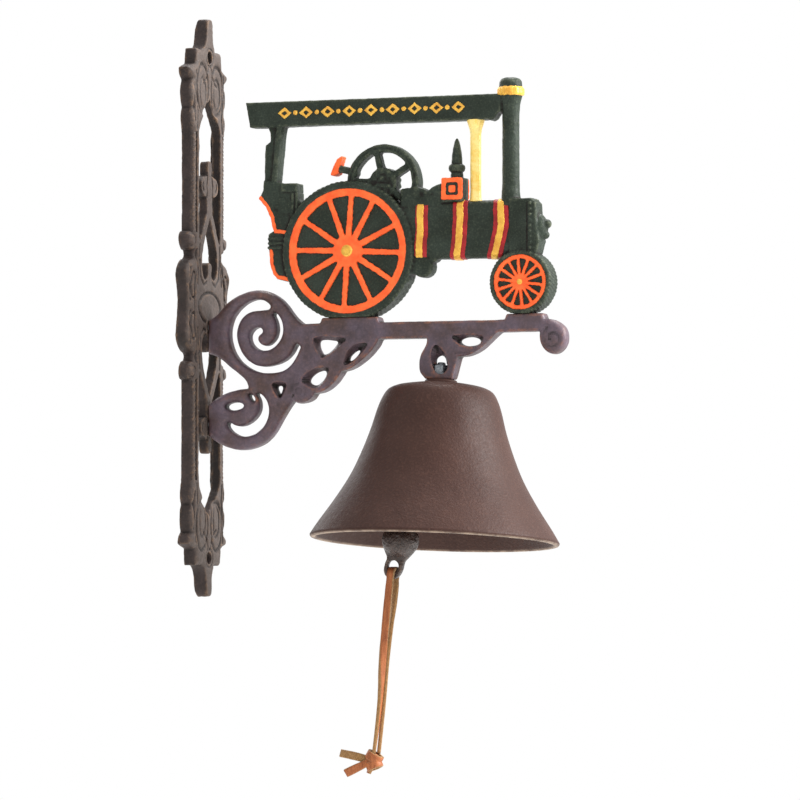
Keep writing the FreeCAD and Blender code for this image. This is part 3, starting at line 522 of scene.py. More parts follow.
def blurred(flat, axes, times=2):
    """Field with its small facets smoothed away."""
    for _ in range(times):
        for axis in axes:
            flat = (np.roll(flat, 1, axis) + 2 * flat + np.roll(flat, -1, axis)) / 4
    return flat


def box_mean(field, reach):
    """Mean of a field over a cube that reaches this many samples to each side."""
    for axis in range(3):
        pad = [(reach + 1, reach) if a == axis else (0, 0) for a in range(3)]
        total = np.cumsum(np.pad(field, pad, mode="edge"), axis, dtype=FLAT)
        width = 2 * reach + 1
        ahead = np.take(total, range(width, total.shape[axis]), axis)
        behind = np.take(total, range(total.shape[axis] - width), axis)
        field = (ahead - behind) / width
    return field


def face_loops(node, axis, level):
    """Closed loops, in millimetres, round the flat face of a CAD node that lies at a level along an axis."""
    mesh = frame["nodes"][node].data
    places = np.array([v.co for v in mesh.vertices]) / MM
    flat_axes = [i for i in range(3) if i != axis]
    on_face = np.abs(places[:, axis] - level) < 0.01
    keys = [tuple(k) for k in np.round(places[:, flat_axes], 3)]
    edges = {}
    for polygon in mesh.polygons:
        corners = list(polygon.vertices)
        if all(on_face[c] for c in corners):
            for a, b in zip(corners, corners[1:] + corners[:1]):
                pair = (keys[a], keys[b])
                if pair[0] != pair[1]:
                    back = (pair[1], pair[0])
                    if back in edges:
                        del edges[back]
                    else:
                        edges[pair] = True
    following = {a: b for a, b in edges}
    loops = []
    while following:
        start, place = following.popitem()
        loop = [start]
        while place != start and place in following:
            loop.append(place)
            place = following.pop(place)
        loops.append(loop)
    return loops


def loop_size(loop):
    u, v = zip(*loop)
    return (max(u) - min(u)) * (max(v) - min(v))


def add_casting(name, block, field, material, body, stands_for=(), place=None):
    """Mesh the skin of a field and add it as a piece; place is a matrix from the block to the row frame."""
    field = np.array(np.broadcast_to(field, block.shape), FLAT, order="C")
    grid = openvdb.FloatGrid(3.0)
    grid.copyFromArray(field)
    points, triangles, quads = grid.convertToPolygons(isovalue=0, adaptivity=0)
    at = tuple(np.clip(np.round(points).astype(int), 0, np.array(block.shape) - 1).T)
    shapes = {}
    for key, reach in (("edge", 1.4), ("recess", 4.2)):
        near = np.clip(field, -reach, reach)
        shapes[key] = (box_mean(near, max(1, round(reach / block.pitch))) - near)[at] / reach
    vertices = points * block.pitch + block.low
    if place is not None:
        turned = np.array(place)
        vertices = vertices @ turned[:3, :3].T + turned[:3, 3]
    faces = [tuple(reversed(f)) for f in triangles.tolist() + quads.tolist()]
    return add_piece(name, vertices, faces, [material], body, stands_for, shapes=shapes)


# ---------------------------------------------------------------- back plate
def make_back_plate():
    """Pierced plate with almond lobes, roped rails, side knobs and a medallion."""
    thick = 8.0
    block = Block((-1, -31.6, -156.8), (9.5, 31.6, 156.8), 0.45)
    y, z = block.y, block.z
    loops = sorted(face_loops("back_plate", 0, thick), key=loop_size)
    flat = blurred(shape(y, z, *loops), (1, 2), 1)
    from_rim = -blurred(shape(y, z, loops[-1]), (1, 2), 1)
    side, rise = np.abs(y), np.abs(z)

    def groove(distance, width, depth):
        return depth * np.exp(-(distance / width) ** 2)

    # The outer edge is thinner than the middle, except at the pointed ends.
    drop = np.interp(rise, [0, 128, 129, 138, 139.5, 160], [2.3, 2.3, 1.5, 1.5, 0.2, 0]).astype(FLAT)
    front = thick - 0.2 - drop * (1 - np.clip(from_rim / 3.2, 0, 1)) ** 2

    # Two almonds on each end lobe, one ring inside the other, and veins running from hole to rail.
    for centre, across, along, width, depth in (((9.8, 117.2), 7.6, 13.0, 0.75, 1.3), ((9.4, 114.6), 3.9, 8.4, 0.65, 0.9)):
        almond = (np.hypot((side - centre[0]) / across, (rise - centre[1]) / along) - 1) * across
        front = front - groove(almond, width, depth)
    for line in ([(1.2, 130), (3.4, 124), (9, 119.5)], [(18.6, 126), (19.4, 116), (16.4, 104), (17.4, 95)],
                 [(20.8, 119), (20.6, 108), (19.8, 99)]):
        front = front - groove(stroke(side, rise, line), 0.65, 0.9)

    # Rails: a flat band beside each window and a rope bead along the outer edge.
    on_rail = (rise > 39) & (rise < 93)
    rope = 5.6 + 0.9 * np.sqrt(np.clip(1.9 ** 2 - (side - 19.4) ** 2, 0, None))
    rope = rope + 0.24 * np.cos(2 * math.pi * (z + 0.9 * (side - 19.4)) / 2.1)
    front = np.where(on_rail & (side > 17.5), np.minimum(rope, thick), front)

    # Finial in each window: its curled lobes are parted from the stem.
    for line in ([(3.6, 59.4), (4.0, 65.5), (2.8, 71)], [(8.4, 62.4), (9.6, 64.4), (9.2, 66.4)]):
        front = front - groove(stroke(side, rise, line), 0.6, 1.2)

    # Medallion: teardrops beside a domed boss, and leaf lines running up to the rails.
    boss = np.hypot(y / 14.5, (z + 0.4) / 8.2) - 1
    front = front + 0.7 * np.clip(-boss * 2.5, 0, 1) - groove(boss, 0.09, 1.1)
    tear = stroke(side, rise, [(22.4, 6), (23.4, 10.5), (22.0, 16)])
    front = front - groove(tear - 1.9, 0.65, 1.2)
    for line in ([(17.5, 30), (17.4, 20), (20, 11), (21, 0)], [(13.8, 33), (15.2, 22), (16.6, 12)],
                 [(25.5, 20), (26.5, 12), (25.4, 3)], [(4, 13.4), (8, 11.6), (12.6, 16), (13.2, 25)]):
        front = front - groove(stroke(side, rise, line), 0.7, 1.0)
    front = front - groove(np.hypot(side - 23, rise - 35) - 3.4, 0.7, 0.7)
    screw_land = np.minimum(np.hypot(y, z - 134.4), np.hypot(y, z + 134.4))
    front = front - groove(screw_land - 4.8, 0.6, 0.7)
    # Under the bracket's feet the face is flat and full thickness.
    feet = np.minimum(oblong(y, z, (-5.4, -25.5), (5.4, -6.5)), oblong(y, z, (-5.4, -69.5), (5.4, -52.5)))
    front = np.where(feet < 0, thick, np.minimum(front, thick))

    field = -smooth_union(-(flat + 0 * block.x), front - block.x, 0.9)
    behind = 1.6 * np.clip((rise - 145) / 10, 0, 1) ** 2
    field = -smooth_union(-field, block.x - behind, 0.5)
    # The back is hollow inside a narrow rim, and so are the edges of the openings.
    hollow = np.maximum(3.0 - from_rim, block.x - 2.6)
    hollow = np.maximum(hollow, 7.5 - np.minimum(np.hypot(y, z + 11), np.hypot(y, z + 63)))
    hollow = np.maximum(hollow, 6.5 - screw_land)
    field = smooth_cut(field, hollow, 0.8)
    for height in (-11.0, -63.0):
        around = np.hypot(y, z - height)
        sink = np.maximum(around - 4.7 + block.x, block.x - 2.2)
        field = smooth_cut(field, np.minimum(around - 2.7, sink), 0.2)
    field = field + block.rough(6, 0.18, 11) + block.rough(1.7, 0.13, 12)
    field = np.maximum(field, -0.02 - block.x)
    add_casting("back_plate_casting", block, field, PLATE_BRONZE, "bracket", ["back_plate"])


# ---------------------------------------------------------------- bracket arm
BELL_SEAT = np.array([139.5, 0, -41.3])
SEAT_TURN = Matrix.Rotation(math.radians(1.03), 3, "Y") @ Matrix.Rotation(math.radians(-3.92), 3, "X")
SEAT_PLACE = Matrix.Translation(BELL_SEAT) @ SEAT_TURN.to_4x4()


def seat_coordinates(block):
    """Height above the bell's seat along the bolt, and distance from the bolt's axis."""
    up = np.array(SEAT_TURN)[:, 2]
    dx, dy, dz = block.x - BELL_SEAT[0], block.y - BELL_SEAT[1], block.z - BELL_SEAT[2]
    height = dx * up[0] + dy * up[1] + dz * up[2]
    away = np.sqrt(np.clip(dx * dx + dy * dy + dz * dz - height * height, 0, None))
    return height, away


def spiral(centre, first, last, turns, start):
    """Points of a spiral from radius first to radius last."""
    steps = 40
    for i in range(steps + 1):
        share = i / steps
        radius = first + (last - first) * share
        angle = math.radians(start + 360 * turns * share)
        yield centre[0] + radius * math.cos(angle), centre[1] + radius * math.sin(angle)


def rounded(corners, steps=5):
    """Closed Catmull-Rom curve through points."""
    count = len(corners)
    around = [corners[i % count] for i in range(-1, count + 2)]
    return [tuple(p) for p in flowing(around, steps)[steps:-steps - 1]]


WEB_OPENINGS = (
    # outline at the faces, and the narrower one half way through
    ([(69.4, -17.8), (86.9, -18.2), (84.4, -22.3), (75.5, -28.2), (72.6, -27.4)],
     [(71.9, -19.2), (81.2, -19.6), (80.4, -22.4), (76, -26.2), (72.6, -25.6)]),
    ([(86.1, -32.2), (87.2, -28.2), (88.5, -25.4), (91.8, -22.4), (96.6, -21.1), (99.8, -21.4), (98.2, -24.1),
      (95, -27.8), (90.9, -31.2), (87.7, -32.7)],
     [(88.2, -30.2), (88.6, -28.2), (91, -25.8), (94.2, -24.4), (94, -26), (91.6, -28.8), (89.6, -30.2)]),
    ([(62.5, -41.3), (64.1, -37.6), (68.1, -34.8), (72.2, -33.75), (77.6, -33.75), (77.2, -37.4), (75.3, -41),
      (72.2, -44.1), (68.5, -44.5)],
     [(65.8, -41.4), (66.8, -38.6), (70.2, -36), (74.4, -35.2), (75.2, -37.4), (72.8, -41), (69.4, -43)]),
    ([(45.2, -41.8), (53.8, -41.9), (49.9, -49.9)], [(47.2, -43.3), (50.4, -43.3), (48.8, -47.8)]),
    ([(147.5, -18.3), (156, -17.9), (164.5, -19), (163.4, -22.2), (160.3, -24.2), (152.7, -23.2), (149.2, -21)],
     [(150.9, -21.3), (152.8, -19.6), (156.6, -19), (160.4, -19.6), (162.2, -21.3), (160.4, -23), (156.6, -23.6),
      (152.8, -23)]),
    ([(138.4, -22.8), (142.2, -26), (144.8, -31), (144.6, -35.8), (141.2, -38.4), (137.8, -36.6), (135.6, -31.5),
      (136, -26)],
     [(140.4, -28.2), (142.6, -30), (143, -34), (142, -37.5), (139, -37.5), (137.4, -34), (137.4, -29.8)]),
)
def make_bracket_arm():
    """Scroll casting: fully rounded volutes, a flat bar, draughted openings, and a lug for the bell."""
    half = 5.0
    block = Block((6.8, -6.2, -78.6), (212.2, 6.2, 10.4), 0.45)
    x, z, depth = block.x, block.z, np.abs(block.y)
    loops = sorted(face_loops("bracket_arm", 1, -half), key=loop_size)
    web = [(79, -22), (92, -27), (70, -38), (49, -44), (157, -21), (140, -31)]
    kept = [p for p in loops if loop_size(p) > 400 or all(math.dist(np.mean(p, 0), place) > 4 for place in web)]
    flat = blurred(shape(x, z, *kept), (0, 2))

    # Edges are fully rounded on the scrolls and crisper along the bar.
    scroll = (1 - np.tanh((x - 62) / 8)) / 2
    nose = (1 + np.tanh((x - 197) / 4)) / 2
    rounding = 0.9 + 2.6 * np.maximum(scroll, nose)
    field = prism(flat, depth, half, rounding.astype(FLAT))

    taper = np.clip((depth - 0.8) / 3.6, 0, 1)
    for at_face, half_way in WEB_OPENINGS:
        wide = blurred(shape(x, z, rounded(at_face)), (0, 2))
        narrow = blurred(shape(x, z, rounded(half_way)), (0, 2))
        field = smooth_cut(field, narrow + (wide - narrow) * taper, 0.5)

    # Raised boss where the web meets the lower scroll, and a spiral cut into the curled nose.
    boss = np.sqrt(((x - 61) / 6.3) ** 2 + ((z + 46.2) / 6.0) ** 2 + (depth / 5.7) ** 2) - 1
    field = smooth_union(field, boss * 5, 0.8)
    curl = stroke(x, z, list(spiral((203.2, -20.4), 6.2, 1.6, 1.2, 120)))
    field = smooth_cut(field, np.hypot(curl, depth - half - 0.7) - 1.0, 1.4)
    creases = [
        [(170, -18.6), (163, -25.0), (156, -27.4), (149.5, -27.8)],
        [(58, -48), (51, -57), (45, -66)],
    ]
    for crease in creases:
        field = smooth_cut(field, np.hypot(stroke(x, z, crease), depth - half) - 0.2, 1.1)

    # Bell lug: leaning seat, bolt bore and the flat inside the window for the washer.
    height, away = seat_coordinates(block)
    field = smooth_cut(field, np.maximum(height, away - 16), 0.3)
    field = smooth_cut(field, np.maximum(away - 2.7, height - 8), 0.3)
    field = smooth_cut(field, np.maximum(np.maximum(away - 4.85, 2.8 - height), height - 8.4), 0.3)
    for screw in (-11.0, -63.0):
        bore = np.maximum(np.hypot(block.y, z - screw) - 2.5, x - 15.6)
        field = smooth_cut(field, bore, 0.3)
    field = np.maximum(field, 8.0 - x)
    field = np.maximum(field, np.where((x > 60) & (z > -8.5), z + 7.2, -9))
    field = field + block.rough(9, 0.16, 21) + block.rough(2.4, 0.07, 22)
    add_casting("bracket_arm_casting", block, field, ARM_PLUM, "bracket", ["bracket_arm"])


# ---------------------------------------------------------------- traction engine
PAD_TOP = -7.2
REAR_WHEEL = (89.0, 28.0)
REAR_TYRE = 37.2
REAR_SPOKES = (86, 61, 26, -3, -33, -64, -94, -121, -152, 178, 146, 111)
FRONT_WHEEL = (185.7, 9.3)
FRONT_TYRE = 17.0
FRONT_SPOKES = [-8 + 360 / 14 * i for i in range(14)]
FLYWHEEL = (108.0, 64.0)
WHEEL_HALF = 6.8
BODY_HALF = 4.5
BOILER_LOW, BOILER_HIGH = 22.5, 53.0
BANDS = ((129.2, 1.0, 0.9, 0.9), (151.0, 2.0, 1.2, 2.3), (172.4, 3.8, 2.6, 2.5))
STRIPES = ([(38.9, 57.6), (42.8, 52.8), (45.6, 47), (46.9, 41), (47.6, 39.6), (54, 38.8)],
           [(44.9, 29), (45.3, 22), (47, 17.2), (49, 15), (55, 13.8)])


def spokes(u, v, centre, angles, inner, outer, inner_half, outer_half):
    """Flat distance to tapered spokes round a centre."""
    best = None
    for angle in angles:
        c, s = math.cos(math.radians(angle)), math.sin(math.radians(angle))
        along = (u - centre[0]) * c + (v - centre[1]) * s
        across = np.abs(-(u - centre[0]) * s + (v - centre[1]) * c)
        share = np.clip((along - inner) / (outer - inner), 0, 1)
        distance = np.maximum(across - inner_half - (outer_half - inner_half) * share,
                              np.maximum(inner - along, along - outer))
        best = distance if best is None else np.minimum(best, distance)
    return best


def brushed(u, v, amount):
    """Small waver of a hand-painted edge."""
    return amount * (np.sin(0.9 * u + 0.5 * v) + np.sin(1.7 * v - 0.8 * u + 1) + np.sin(2.9 * u + 2.1 * v + 2)) / 2


def tyre(block, centre, radius, inner, ribs):
    """Rounded tyre with slanting tread ribs."""
    du, dv = block.x - centre[0], block.z - centre[1]
    angle = np.arctan2(dv, du)
    worn = np.cos(ribs * angle + 1.0 * block.y)
    flat = ring(block.x, block.z, centre, inner, radius)
    outside = np.clip((np.hypot(du, dv) - radius + 2.2) / 2.2, 0, 1)
    return prism(flat, np.abs(block.y), WHEEL_HALF, 1.7) + 0.16 * worn * outside


def boiler(block):
    """Barrel in relief: its sides are domed between the top and bottom edges."""
    middle = (BOILER_LOW + BOILER_HIGH) / 2
    dome = 5.9 - 2.2 * (np.abs(block.z - middle) / (BOILER_HIGH - middle)) ** 4
    flat = oblong(block.x, block.z, (116, BOILER_LOW), (193.8, BOILER_HIGH))
    return prism(flat, np.abs(block.y) + 5.9 - dome, 5.9, 2.4)


def band_line(block, along, slope, bow):
    """Distance along the barrel from the middle of a hand-painted band."""
    share = (block.z - (BOILER_LOW + BOILER_HIGH) / 2) / ((BOILER_HIGH - BOILER_LOW) / 2)
    return block.x - along - slope * share / 2 - bow * (1 - share ** 2) - 0.12 * np.sin(0.45 * block.z + along)


def turned(block, along, profile):
    """Upright turned post; profile pairs heights with radii."""
    heights, radii = zip(*profile)
    radius = np.interp(block.z, heights, radii).astype(FLAT)
    away = np.hypot(block.x - along, block.y) - radius
    return np.maximum(away, np.maximum(heights[0] - block.z, block.z - heights[-1]))


def make_engine_body():
    """The dark green casting: canopy, posts, tender, wheels, flywheel, boiler and fittings."""
    block = Block((28.8, -7.8, -8.2), (204.4, 7.8, 119.4), 0.45)
    x, z, depth = block.x, block.z, np.abs(block.y)

    canopy = shape(x, z, [(29.9, 109), (174.5, 109), (174.5, 99.5), (172.6, 98.8), (170.6, 96.0), (168.6, 94.9),
                          (167.4, 95.8), (164, 95.6), (52, 95.6), (49.5, 95.2), (32.4, 95.5)])
    solid = prism(canopy, depth, BODY_HALF, 1.0)
    post = shape(x, z, [(41.8, 97), (43.4, 92), (43.6, 88), (40.6, 85.8), (40.2, 66), (48.4, 66), (50.8, 90),
                        (52.2, 97)])
    solid = smooth_union(solid, prism(post, depth, 3.2, 1.2), 1.0)
    ridge = np.hypot(stroke(x, z, [(49.2, 96), (46.4, 67)]), np.maximum(depth - 3.0, 0)) - 1.8
    solid = smooth_union(solid, ridge, 0.7)
    tender = shape(x, z, [(40.2, 67), (40.0, 62), (37.8, 57.4), (42, 52.4), (45, 46.2), (46.3, 40), (42.9, 38),
                          (43.6, 28), (45.6, 17.5), (48, 14), (54, 12.6), (64, 13), (64, 52), (60, 57), (59.4, 64.6),
                          (52, 65.2)])
    coal = block.rough(3.2, 0.6, 31) * np.clip(-oblong(x, z, (45.6, 41), (58, 57.5)), 0, 1)
    solid = smooth_union(solid, prism(tender, depth, BODY_HALF, 1.0) + coal, 0.8)
    solid = smooth_union(solid, prism(oblong(x, z, (50.5, 60.5), (59.8, 65.0)), depth, 5.3, 0.8), 0.4)
    for along in (57.2, 59.4):
        solid = smooth_union(solid, prism(oblong(x, z, (along - 0.7, 44), (along + 0.7, 60)), depth, 5.2, 0.6), 0.4)
    for height in (30.2, 32.6, 35.0):
        rib = oblong(x, z, (42.8, height), (52, height + 1.2))
        solid = smooth_union(solid, prism(rib, depth, 5.0, 0.6), 0.5)

    solid = smooth_union(solid, prism(disc(x, z, REAR_WHEEL, 34), depth, 5.3, 1.0), 0.4)
    solid = smooth_union(solid, tyre(block, REAR_WHEEL, REAR_TYRE, 32.6, 84), 0.4)
    rim = prism(ring(x, z, FLYWHEEL, 16.2, 20.4), depth, 4.6, 2.0)
    rim = smooth_cut(rim, np.hypot(disc(x, z, FLYWHEEL, 18.3), depth - 4.9) - 0.9, 0.6)
    solid = smooth_union(solid, rim, 0.6)
    arms = spokes(x, z, FLYWHEEL, (104, 32, -40, -112, 176), 3, 18, 2.0, 1.5)
    solid = smooth_union(solid, prism(arms, depth, 3.2, 1.2), 1.6)
    hub = prism(disc(x, z, FLYWHEEL, 7.8), depth, 4.4, 1.2) + block.rough(2.1, 0.9, 32) * np.clip(depth - 3, 0, 1)
    solid = smooth_union(solid, hub, 1.2)
    stub = stroke(x, z, [(83.4, 72.0), (87, 71.2), (91.5, 69.5)]) - 1.9
    solid = smooth_union(solid, prism(stub, depth, 3.2, 1.2), 0.8)

    barrel = boiler(block)
    smokebox = prism(shape(x, z, [(179.5, BOILER_LOW), (179.5, 53.4), (191.6, 53.4), (194.4, 50.8), (195, 38), (196.4, 31),
                                  (194.6, 24.5), (190, 21.5)]), depth, 6.1, 1.3)
    barrel = smooth_union(barrel, smokebox, 0.8)
    seam = np.hypot(x - 189.6, depth - 6.1) - 0.3
    barrel = smooth_cut(barrel, seam, 0.6)
    for i in range(10):
        rivet = np.sqrt((x - 191.4) ** 2 + (z - 24.5 - 2.9 * i) ** 2 + (depth - 6.1) ** 2) - 0.9
        barrel = smooth_union(barrel, rivet, 0.3)
    door = np.sqrt(((x - 194.6) / 4.6) ** 2 + ((z - 37.6) / 7.6) ** 2 + (block.y / 5.2) ** 2) - 1
    barrel = smooth_union(barrel, door * 4.6, 0.8)
    for along, height, radius in ((198.6, 39.8, 2.5), (198.0, 34.0, 2.1)):
        knob = np.sqrt((x - along) ** 2 + (z - height) ** 2 + block.y ** 2) - radius
        barrel = smooth_union(barrel, knob, 0.6)
    solid = smooth_union(solid, barrel, 0.8)

    chest = shape(x, z, [(118, 50), (118, 60), (126, 61.5), (131, 60.2), (134, 58.6), (138, 61.6), (142, 62), (142, 50)])
    lumps = block.rough(3.0, 0.8, 33) * np.clip((z - 53.5) / 2, 0, 1)
    solid = smooth_union(solid, prism(chest, depth, 5.0, 1.8) + lumps, 0.8)
    box = prism(oblong(x, z, (141.6, 52.4), (153.5, 65.2)), depth, 5.2, 1.2)
    solid = smooth_union(solid, box, 0.6)
    spire = turned(block, 148.6, [(63, 3.4), (67.4, 3.3), (68.2, 3.0), (69.2, 4.1), (70.6, 4.5), (72, 4.2), (72.8, 3.0),
                                  (74, 2.9), (78, 2.6), (82, 2.0), (85, 1.2), (86.4, 0.4)])
    solid = smooth_union(solid, spire, 0.7)
    funnel = turned(block, 178.7, [(50, 5.6), (54, 5.0), (60, 4.6), (98, 4.5), (103, 4.9), (108, 6.2), (109.6, 6.4),
                                   (112.4, 6.2), (115.4, 5.9), (116.8, 4.9), (117.5, 3.0)])
    solid = smooth_union(solid, funnel, 1.2)
    pan = prism(disc(x, z, (130.6, 18.8), 5.8), depth, BODY_HALF, 1.6)
    pan = smooth_union(pan, prism(disc(x, z, (125, 21), 6.0), depth, 4.6, 1.4), 1.2)
    pan = smooth_union(pan, prism(disc(x, z, (136.4, 23.4), 2.4), depth, 4.2, 1.2), 0.8)
    solid = smooth_union(solid, pan, 1.0)
    lump = prism(disc(x, z, (120.6, 12.6), 2.8), depth, 5.2, 1.4)
    solid = smooth_union(solid, lump, 0.6)

    front_core = prism(disc(x, z, FRONT_WHEEL, 15), depth, 5.3, 1.0)
    solid = smooth_union(solid, front_core, 0.6)
    solid = smooth_union(solid, tyre(block, FRONT_WHEEL, FRONT_TYRE, 14.0, 52), 0.4)
    solid = np.maximum(solid, PAD_TOP - z)
    solid = solid + block.rough(3.0, 0.10, 34) + block.rough(1.3, 0.09, 35)
    add_casting("engine_body", block, solid, ENGINE_GREEN, "bracket", ["traction_engine"])


def engine_detail(name, low, high, build, material, pitch=0.33):
    """Painted part of the engine: build gives its field in the block between two corners (x, z)."""
    block = Block((low[0], -7.9, low[1]), (high[0], 7.9, high[1]), pitch)
    field = build(block) + block.rough(1.8, 0.07, len(name))
    add_casting(name, block, field, material, "bracket")


def wheel_paint(centre, inner, outer, angles, hub, spoke, block):
    """Ring, spokes and hub standing up from the wheel's disc, with a painter's unsteady edge."""
    u, v = block.x, block.z
    flat = ring(u, v, centre, inner, outer)
    flat = smooth_union(flat, spokes(u, v, centre, angles, hub * 0.6, inner + 1, spoke[0], spoke[1]), 1.0)
    flat = smooth_union(flat, disc(u, v, centre, hub), 0.9)
    wheel = prism(flat + brushed(u, v, 0.14), np.abs(block.y), 6.75, 0.9)
    boss = np.sqrt((u - centre[0]) ** 2 + (v - centre[1]) ** 2 + (np.abs(block.y) * 1.05) ** 2) - hub * 1.02
    return np.maximum(smooth_union(wheel, np.maximum(boss, np.abs(block.y) - 7.2), 0.6), 4.9 - np.abs(block.y))


def cap(centre, radius, block):
    """Small domed cap in the middle of a wheel, on both sides."""
    return np.sqrt((block.x - centre[0]) ** 2 + (block.z - centre[1]) ** 2
                   + ((np.abs(block.y) - 6.3) * 1.6) ** 2) - radius


def make_engine_paint():
    """Orange, red and gold details."""
    def rear(block):
        return wheel_paint(REAR_WHEEL, 29.2, 33.4, REAR_SPOKES, 8.2, (1.7, 1.3), block)

    def front(block):
        return wheel_paint(FRONT_WHEEL, 12.3, 14.5, FRONT_SPOKES, 3.9, (0.85, 0.75), block)

    engine_detail("rear_wheel_paint", (54, -7), (124, 63), rear, ENGINE_ORANGE)
    engine_detail("front_wheel_paint", (170, -7), (202, 25), front, ENGINE_ORANGE, 0.25)
    engine_detail("rear_hub_cap", (83, 22), (95, 34), lambda b: cap(REAR_WHEEL, 3.5, b), ENGINE_GOLD, 0.2)
    engine_detail("front_hub_cap", (183, 6), (189, 13), lambda b: cap(FRONT_WHEEL, 1.7, b), ENGINE_GOLD, 0.2)

    def near_face(flat, block, deep, level):
        """Paint on both side faces only, a few tenths proud of the level given."""
        return np.maximum(prism(flat, np.abs(block.y), level, 0.5), deep - np.abs(block.y))

    for i, line in enumerate(STRIPES):
        def stripe(block, line=line):
            flat = stroke(block.x, block.z, line) - 1.05 + brushed(block.x, block.z, 0.12)
            return near_face(flat, block, 3.6, 4.95)
        engine_detail(f"tender_stripe_{i + 1}", (35, 11), (58, 60), stripe, ENGINE_ORANGE, 0.28)

    def steering(block):
        flat = shape(block.x, block.z, [(84.3, 78.6), (82.2, 77.2), (80.2, 74.0), (78.7, 70.6), (78.6, 69.0),
                                        (80.4, 68.4), (82.4, 69.3), (82.9, 72), (83.7, 75), (84.8, 78)])
        return prism(flat - 0.2 + brushed(block.x, block.z, 0.12), np.abs(block.y), 3.7, 1.0)

    engine_detail("steering_wheel", (77, 65), (89, 81), steering, ENGINE_ORANGE, 0.25)

    def frame_square(block):
        outer = oblong(block.x, block.z, (142.9, 54.9), (152.3, 64.1)) - 1.2
        inner = oblong(block.x, block.z, (145.2, 57.0), (150.1, 61.9)) - 0.9
        return near_face(np.maximum(outer, -inner) + brushed(block.x, block.z, 0.12), block, 4.6, 6.0)

    def centre_square(block):
        return near_face(oblong(block.x, block.z, (146.7, 58.4), (148.7, 60.4)) - 0.9, block, 4.6, 6.0)

    engine_detail("governor_frame", (140, 52), (156, 67), frame_square, ENGINE_ORANGE, 0.28)
    engine_detail("governor_centre", (144, 56), (152, 63), centre_square, ENGINE_ORANGE, 0.2)

    for i, (along, slope, bow, left) in enumerate(BANDS):
        def red(block, along=along, slope=slope, bow=bow, left=left):
            line = band_line(block, along, slope, bow) + brushed(block.z, block.x, 0.1)
            return np.maximum(boiler(block) - 0.4, np.maximum(-line - 1.8 - left, line - 4.2))

        def gold(block, along=along, slope=slope, bow=bow):
            line = band_line(block, along, slope, bow) + brushed(block.x, block.z, 0.12)
            return np.maximum(boiler(block) - 0.75, np.abs(line) - 1.85)

        engine_detail(f"boiler_band_red_{i + 1}", (along - 9, 20), (along + 10, 56), red, ENGINE_RED, 0.3)
        engine_detail(f"boiler_band_gold_{i + 1}", (along - 7, 20), (along + 8, 56), gold, ENGINE_GOLD, 0.3)

    def post(block):
        return turned(block, 159.1, [(52.6, 3.5), (54.5, 3.1), (57, 2.9), (88, 2.9), (91, 3.3), (93.6, 4.2),
                                     (95.9, 4.9)])

    def collar(block):
        ring_body = turned(block, 178.7, [(107.9, 6.4), (108.6, 7.2), (111.4, 7.1), (112.6, 6.3)])
        return ring_body + brushed(block.x * 2, block.y * 2, 0.16)

    engine_detail("canopy_post", (153, 51), (165, 97), post, POST_GOLD_LIT, 0.28)
    engine_detail("funnel_collar", (170, 106), (187, 114), collar, ENGINE_GOLD, 0.28)


def make_canopy_ornament():
    """Row of raised lozenges and beads along the canopy."""
    first, last, pairs, middle = 52.5, 151.0, 9, 102.6
    gap = (last - first) / (pairs - 1)

    def row(block):
        step = np.mod(block.x - first + gap / 2, gap) - gap / 2
        rise = block.z - middle
        lozenge = (np.abs(step) * 0.8 + np.abs(rise)) * 0.78 - 2.5
        core = (np.abs(step) * 0.8 + np.abs(rise)) * 0.78 - 1.0
        half_step = np.mod(block.x - first, gap) - gap / 2
        bead = np.hypot(half_step, rise) - 1.3
        flat = np.minimum(np.maximum(lozenge, -core), bead)
        flat = np.maximum(flat, np.maximum(first - 4.5 - block.x, block.x - last - 4.5))
        shell = prism(flat + brushed(block.x, block.z, 0.12), np.abs(block.y), 5.15, 0.5)
        return np.maximum(shell, 3.9 - np.abs(block.y))

    engine_detail("canopy_ornament", (first - 6, middle - 5), (last + 6, middle + 5), row, ENGINE_GOLD, 0.28)


# ---------------------------------------------------------------- bell, clapper and hardware
BELL_OUTER = [(2.7, 0), (8.4, 0), (8.7, -1.1), (12, -1.7), (18, -2.6), (23.6, -3.8), (27.9, -6.1), (30.6, -10.4),
              (32.9, -16.5), (35.9, -27.2), (40.4, -39.9), (45.9, -52.5), (53.4, -65.2), (62, -77.9), (65.8, -84)]
BELL_INNER = [(62.9, -85.4), (57.4, -77.5), (49.1, -65.4), (42, -52.9), (36.7, -40.4), (32.4, -27.8), (29.4, -17),
              (27.1, -12.8), (25.4, -8.6), (20, -6.9), (12, -5.3), (7, -4.5), (2.7, -4.5)]


def flowing(points, steps):
    """Catmull-Rom curve through points."""
    points = [np.array(p, float) for p in points]
    padded = [2 * points[0] - points[1]] + points + [2 * points[-1] - points[-2]]
    line = []
    for a, b, c, d in zip(padded, padded[1:], padded[2:], padded[3:]):
        for i in range(steps):
            t = i / steps
            line.append(0.5 * (2 * b + (c - a) * t + (2 * a - 5 * b + 4 * c - d) * t * t
                               + (3 * b - a - 3 * c + d) * t ** 3))
    return line + [points[-1]]


def lathe(profile, segments, waver=0.0):
    """Turn a closed profile of (radius, height) about Z; waver is a slight casting unevenness."""
    count = len(profile)
    vertices = []
    for k in range(segments):
        angle = 2 * math.pi * k / segments
        for radius, height in profile:
            uneven = waver * (math.sin(3 * angle + height / 17) + 0.5 * math.sin(7 * angle - height / 9))
            radius = radius + uneven * min(1, radius / 30)
            vertices.append((radius * math.cos(angle), radius * math.sin(angle), height))
    faces = []
    for k in range(segments):
        here, after = k * count, (k + 1) % segments * count
        for i in range(count):
            j = (i + 1) % count
            faces.append((here + i, here + j, after + j, after + i))
    return np.array(vertices), faces


